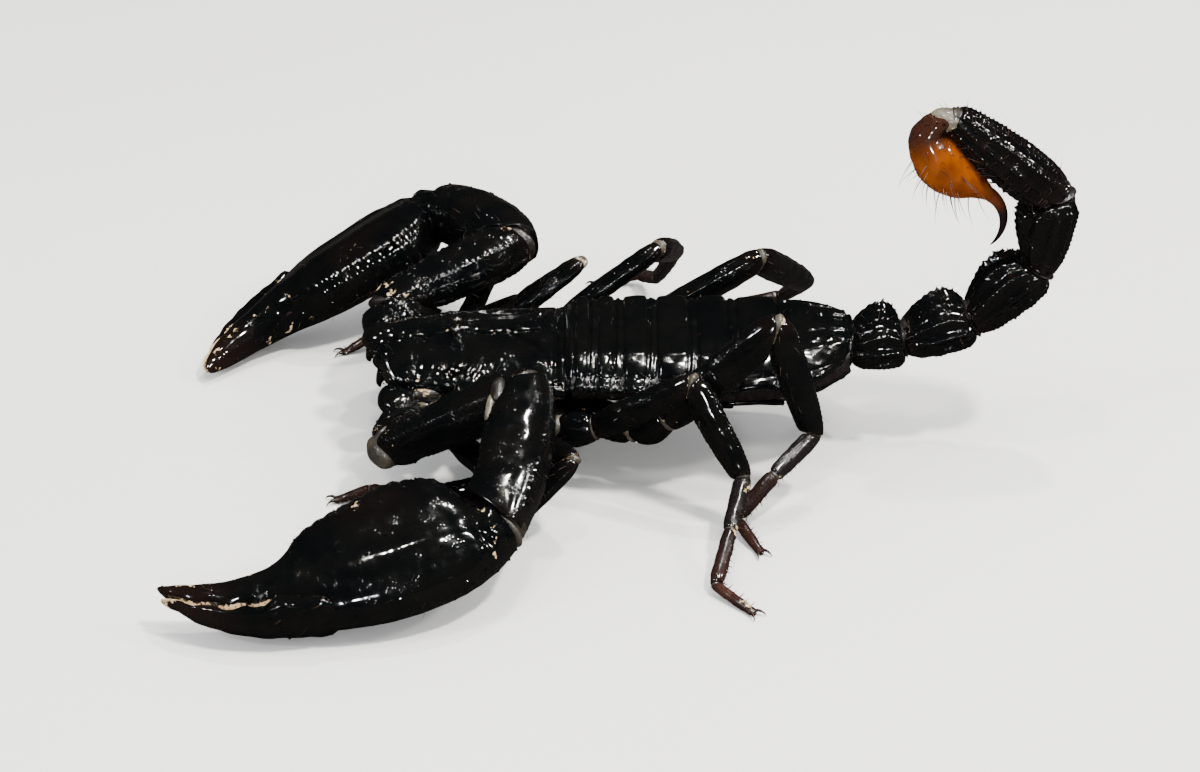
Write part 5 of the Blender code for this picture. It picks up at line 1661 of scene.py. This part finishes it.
def add_foot(pile, ankle, side, sweep, along):
    """The foot's lobe, two curved claws and a short third one."""
    level, across = heading(side, sweep, 0), heading(side, sweep + 90, 0)
    lobe = bent((
        (ankle - along * 0.5, unit(along), UP, 0.42, 0.4),
        (ankle + level * 0.2, level, UP, 0.5, 0.32),
        (ankle + level * 0.62 + UP * 0.02, level, UP, 0.26, 0.26, 0.2, 0.3),
    ), 24, 16)
    lobe[..., 2] = np.maximum(lobe[..., 2], 0.02)
    pile.add(lobe, coat=0.3, reach=0.4)
    for turn, reach in ((-1, 1.0), (1, 1.0), (0, 0.5)):
        out_way = unit(level + 0.42 * turn * across)
        base = ankle + level * 0.25 + across * turn * 0.26
        lift = UP * abs(turn)
        claw = bent((
            (base - UP * 0.02, out_way, UP, 0.17),
            (base + out_way * 0.5 * reach + lift * 0.14, unit(out_way + 0.1 * UP), UP, 0.13, 0.14),
            (base + out_way * 0.95 * reach + lift * 0.04, unit(out_way - 0.55 * UP), UP, 0.08, 0.09),
            (base + out_way * 1.22 * reach - lift * 0.26, unit(out_way - 1.6 * UP), UP, 0.025),
        ), 12, 20)
        claw[..., 2] = np.maximum(claw[..., 2], 0.03)
        pile.add(claw, tone=0.35)


# ---------------------------------------------------------------- the whole animal

build_carapace()
for which in (LEFT, RIGHT):
    build_jaw(which)
build_underside()
build_trunk()
build_tail()
for which in (LEFT, RIGHT):
    build_arm(which)
    for leg in range(4):
        build_leg(which, leg)

show("joint_skin", JOINT_SKIN.mesh("joint_skin"), SKIN, "comb_tan")

# Coats: (region, bristles per square metre where coat is 1, their length, granules per square metre
# where grit is 1, their radius)
COATS = (
    ("trunk", 0.9e6, 0.0007, 0.8e6, 0.00014),
    ("tail", 0.75e6, 0.0015, 1.1e6, 0.00017),
    ("arms", 0.55e6, 0.0011, 0.75e6, 0.00017),
    ("legs_left", 0.85e6, 0.0011, 0.5e6, 0.00010),
    ("legs_right", 0.85e6, 0.0011, 0.5e6, 0.00010),
)
for order, (region, bristles, bristle_length, granules, granule_size) in enumerate(COATS):
    ground = GROUND[region].mesh(region + "_ground", for_growth=True)
    grow("bristles_" + region, ground, BRISTLES, BRISTLE, "tarsus_brown", Density=bristles,
         Size=bristle_length, Thickness=0.022, Lean=0.3 if region == "tail" else 0.75, Curl=0.22,
         Seed=11 + order)
    grow("granules_" + region, ground, GRANULES, BLACK, "shell_black", Density=granules,
         Size=granule_size, Seed=31 + order)
grow("shell_teeth", SHELL_TEETH.mesh("tooth_lines"), TEETH, BLACK, "shell_black",
     Density=1900.0, Size=0.00040, Thickness=0.42)
grow("foot_spines", FOOT_SPINES.mesh("spine_lines"), TEETH, BRISTLE, "tarsus_brown",
     Density=1500.0, Size=0.0008, Thickness=0.12)

# ---------------------------------------------------------------- floor, light and camera

FLOOR_SIZE = 1.6
CENTER = (0, 5, 8)  # where the lamps point
# Lamps: (name, place, size in metres, power, colour)
LAMPS = (
    ("key", (115, 150, 358), (0.04, 0.03), 3.0, (1.0, 0.985, 0.96)),
    ("front", (355, 0, 165), (0.026, 0.02), 0.6, (0.97, 0.98, 1.0)),
    ("crest", (-96, 69, 388), (0.024, 0.019), 1.1, (1.0, 0.98, 0.95)),
    ("warm", (68, -36, 395), (0.022, 0.016), 0.5, (1.0, 0.96, 0.88)),
    ("side", (170, -260, 230), (0.035, 0.03), 0.5, (0.94, 0.96, 1.0)),
    ("rear", (60, 320, 260), (0.04, 0.03), 0.9, (1.0, 0.97, 0.92)),
    ("top", (40, -20, 360), (0.26, 0.22), 0.4, (1.0, 0.99, 0.97)),
)
UNMIRRORED = "top"  # this lamp doesn't show in the shells
CAMERA_LENS = 99
CAMERA_RISE, CAMERA_DISTANCE = 29, 330
VIEW_TARGET = np.array((0, 0, 6.3))


def to_frame(point):
    return np.array(point, float) * MM + PLACE


def aim(item, position, target):
    """Stand an object at a point with its -Z toward a target and its top up."""
    back = unit(position - target)
    right = unit(np.cross((0, 0, 1.0), back))
    up = np.cross(back, right)
    rows = [[float(value) for value in (right[i], up[i], back[i], position[i])] for i in range(3)]
    item.matrix_world = Matrix(rows + [[0, 0, 0, 1]])


def make_floor():
    mesh = bpy.data.meshes.new("floor")
    corners = [(x * FLOOR_SIZE, y * FLOOR_SIZE, 0) for x, y in ((-1, -1), (1, -1), (1, 1), (-1, 1))]
    mesh.from_pydata(corners, [], [(0, 1, 2, 3)])
    made = Finish("floor_pale_painted_dark_in_reflections", Roughness=0.8, Specular_IOR_Level=0.0)
    tint = made.drift(6.0, (0.60, 0.59, 0.57), (0.62, 0.61, 0.59))
    # Glossy rays see the floor painted near-black, so its reflection in the shells is painted shade.
    mirrored = out(place(made.tree, "ShaderNodeLightPath"), "Is Glossy Ray")
    made.feed("Base Color", mix_color(made.tree, mirrored, tint["Color"], (0.014, 0.0125, 0.0115, 1)))
    mesh.materials.append(made.material)
    floor = bpy.data.objects.new("floor", mesh)
    bpy.context.scene.collection.objects.link(floor)


def add_lamp(name, point, size, power, color):
    lamp = bpy.data.lights.new(name, "AREA")
    lamp.shape = "RECTANGLE"
    lamp.size, lamp.size_y = size
    lamp.energy = power
    lamp.color = color
    item = bpy.data.objects.new(name, lamp)
    item.visible_glossy = name != UNMIRRORED
    bpy.context.scene.collection.objects.link(item)
    aim(item, to_frame(point), to_frame(CENTER))


def make_world():
    """Even light from all round, which is dim where the shells mirror it."""
    world = bpy.data.worlds.new("studio")
    world.use_nodes = True
    tree = world.node_tree
    background = tree.nodes["Background"].inputs
    background["Color"].default_value = (0.75, 0.78, 0.8, 1)
    mirrored = out(place(tree, "ShaderNodeLightPath"), "Is Glossy Ray")
    tree.links.new(grade(tree, mirrored, 0.0, 1.0, 2.2, 0.016), background["Strength"])
    bpy.context.scene.world = world


def make_camera():
    data = bpy.data.cameras.new("camera")
    data.lens = CAMERA_LENS
    data.sensor_width = 36
    data.clip_start = 0.01
    camera = bpy.data.objects.new("camera", data)
    bpy.context.scene.collection.objects.link(camera)
    rise = math.radians(CAMERA_RISE)
    view = np.array((math.cos(rise), 0, math.sin(rise)))
    aim(camera, to_frame(VIEW_TARGET + view * CAMERA_DISTANCE), to_frame(VIEW_TARGET))
    bpy.context.scene.camera = camera


make_floor()
for lamp in LAMPS:
    add_lamp(*lamp)
make_world()
make_camera()
bpy.context.view_layer.update()
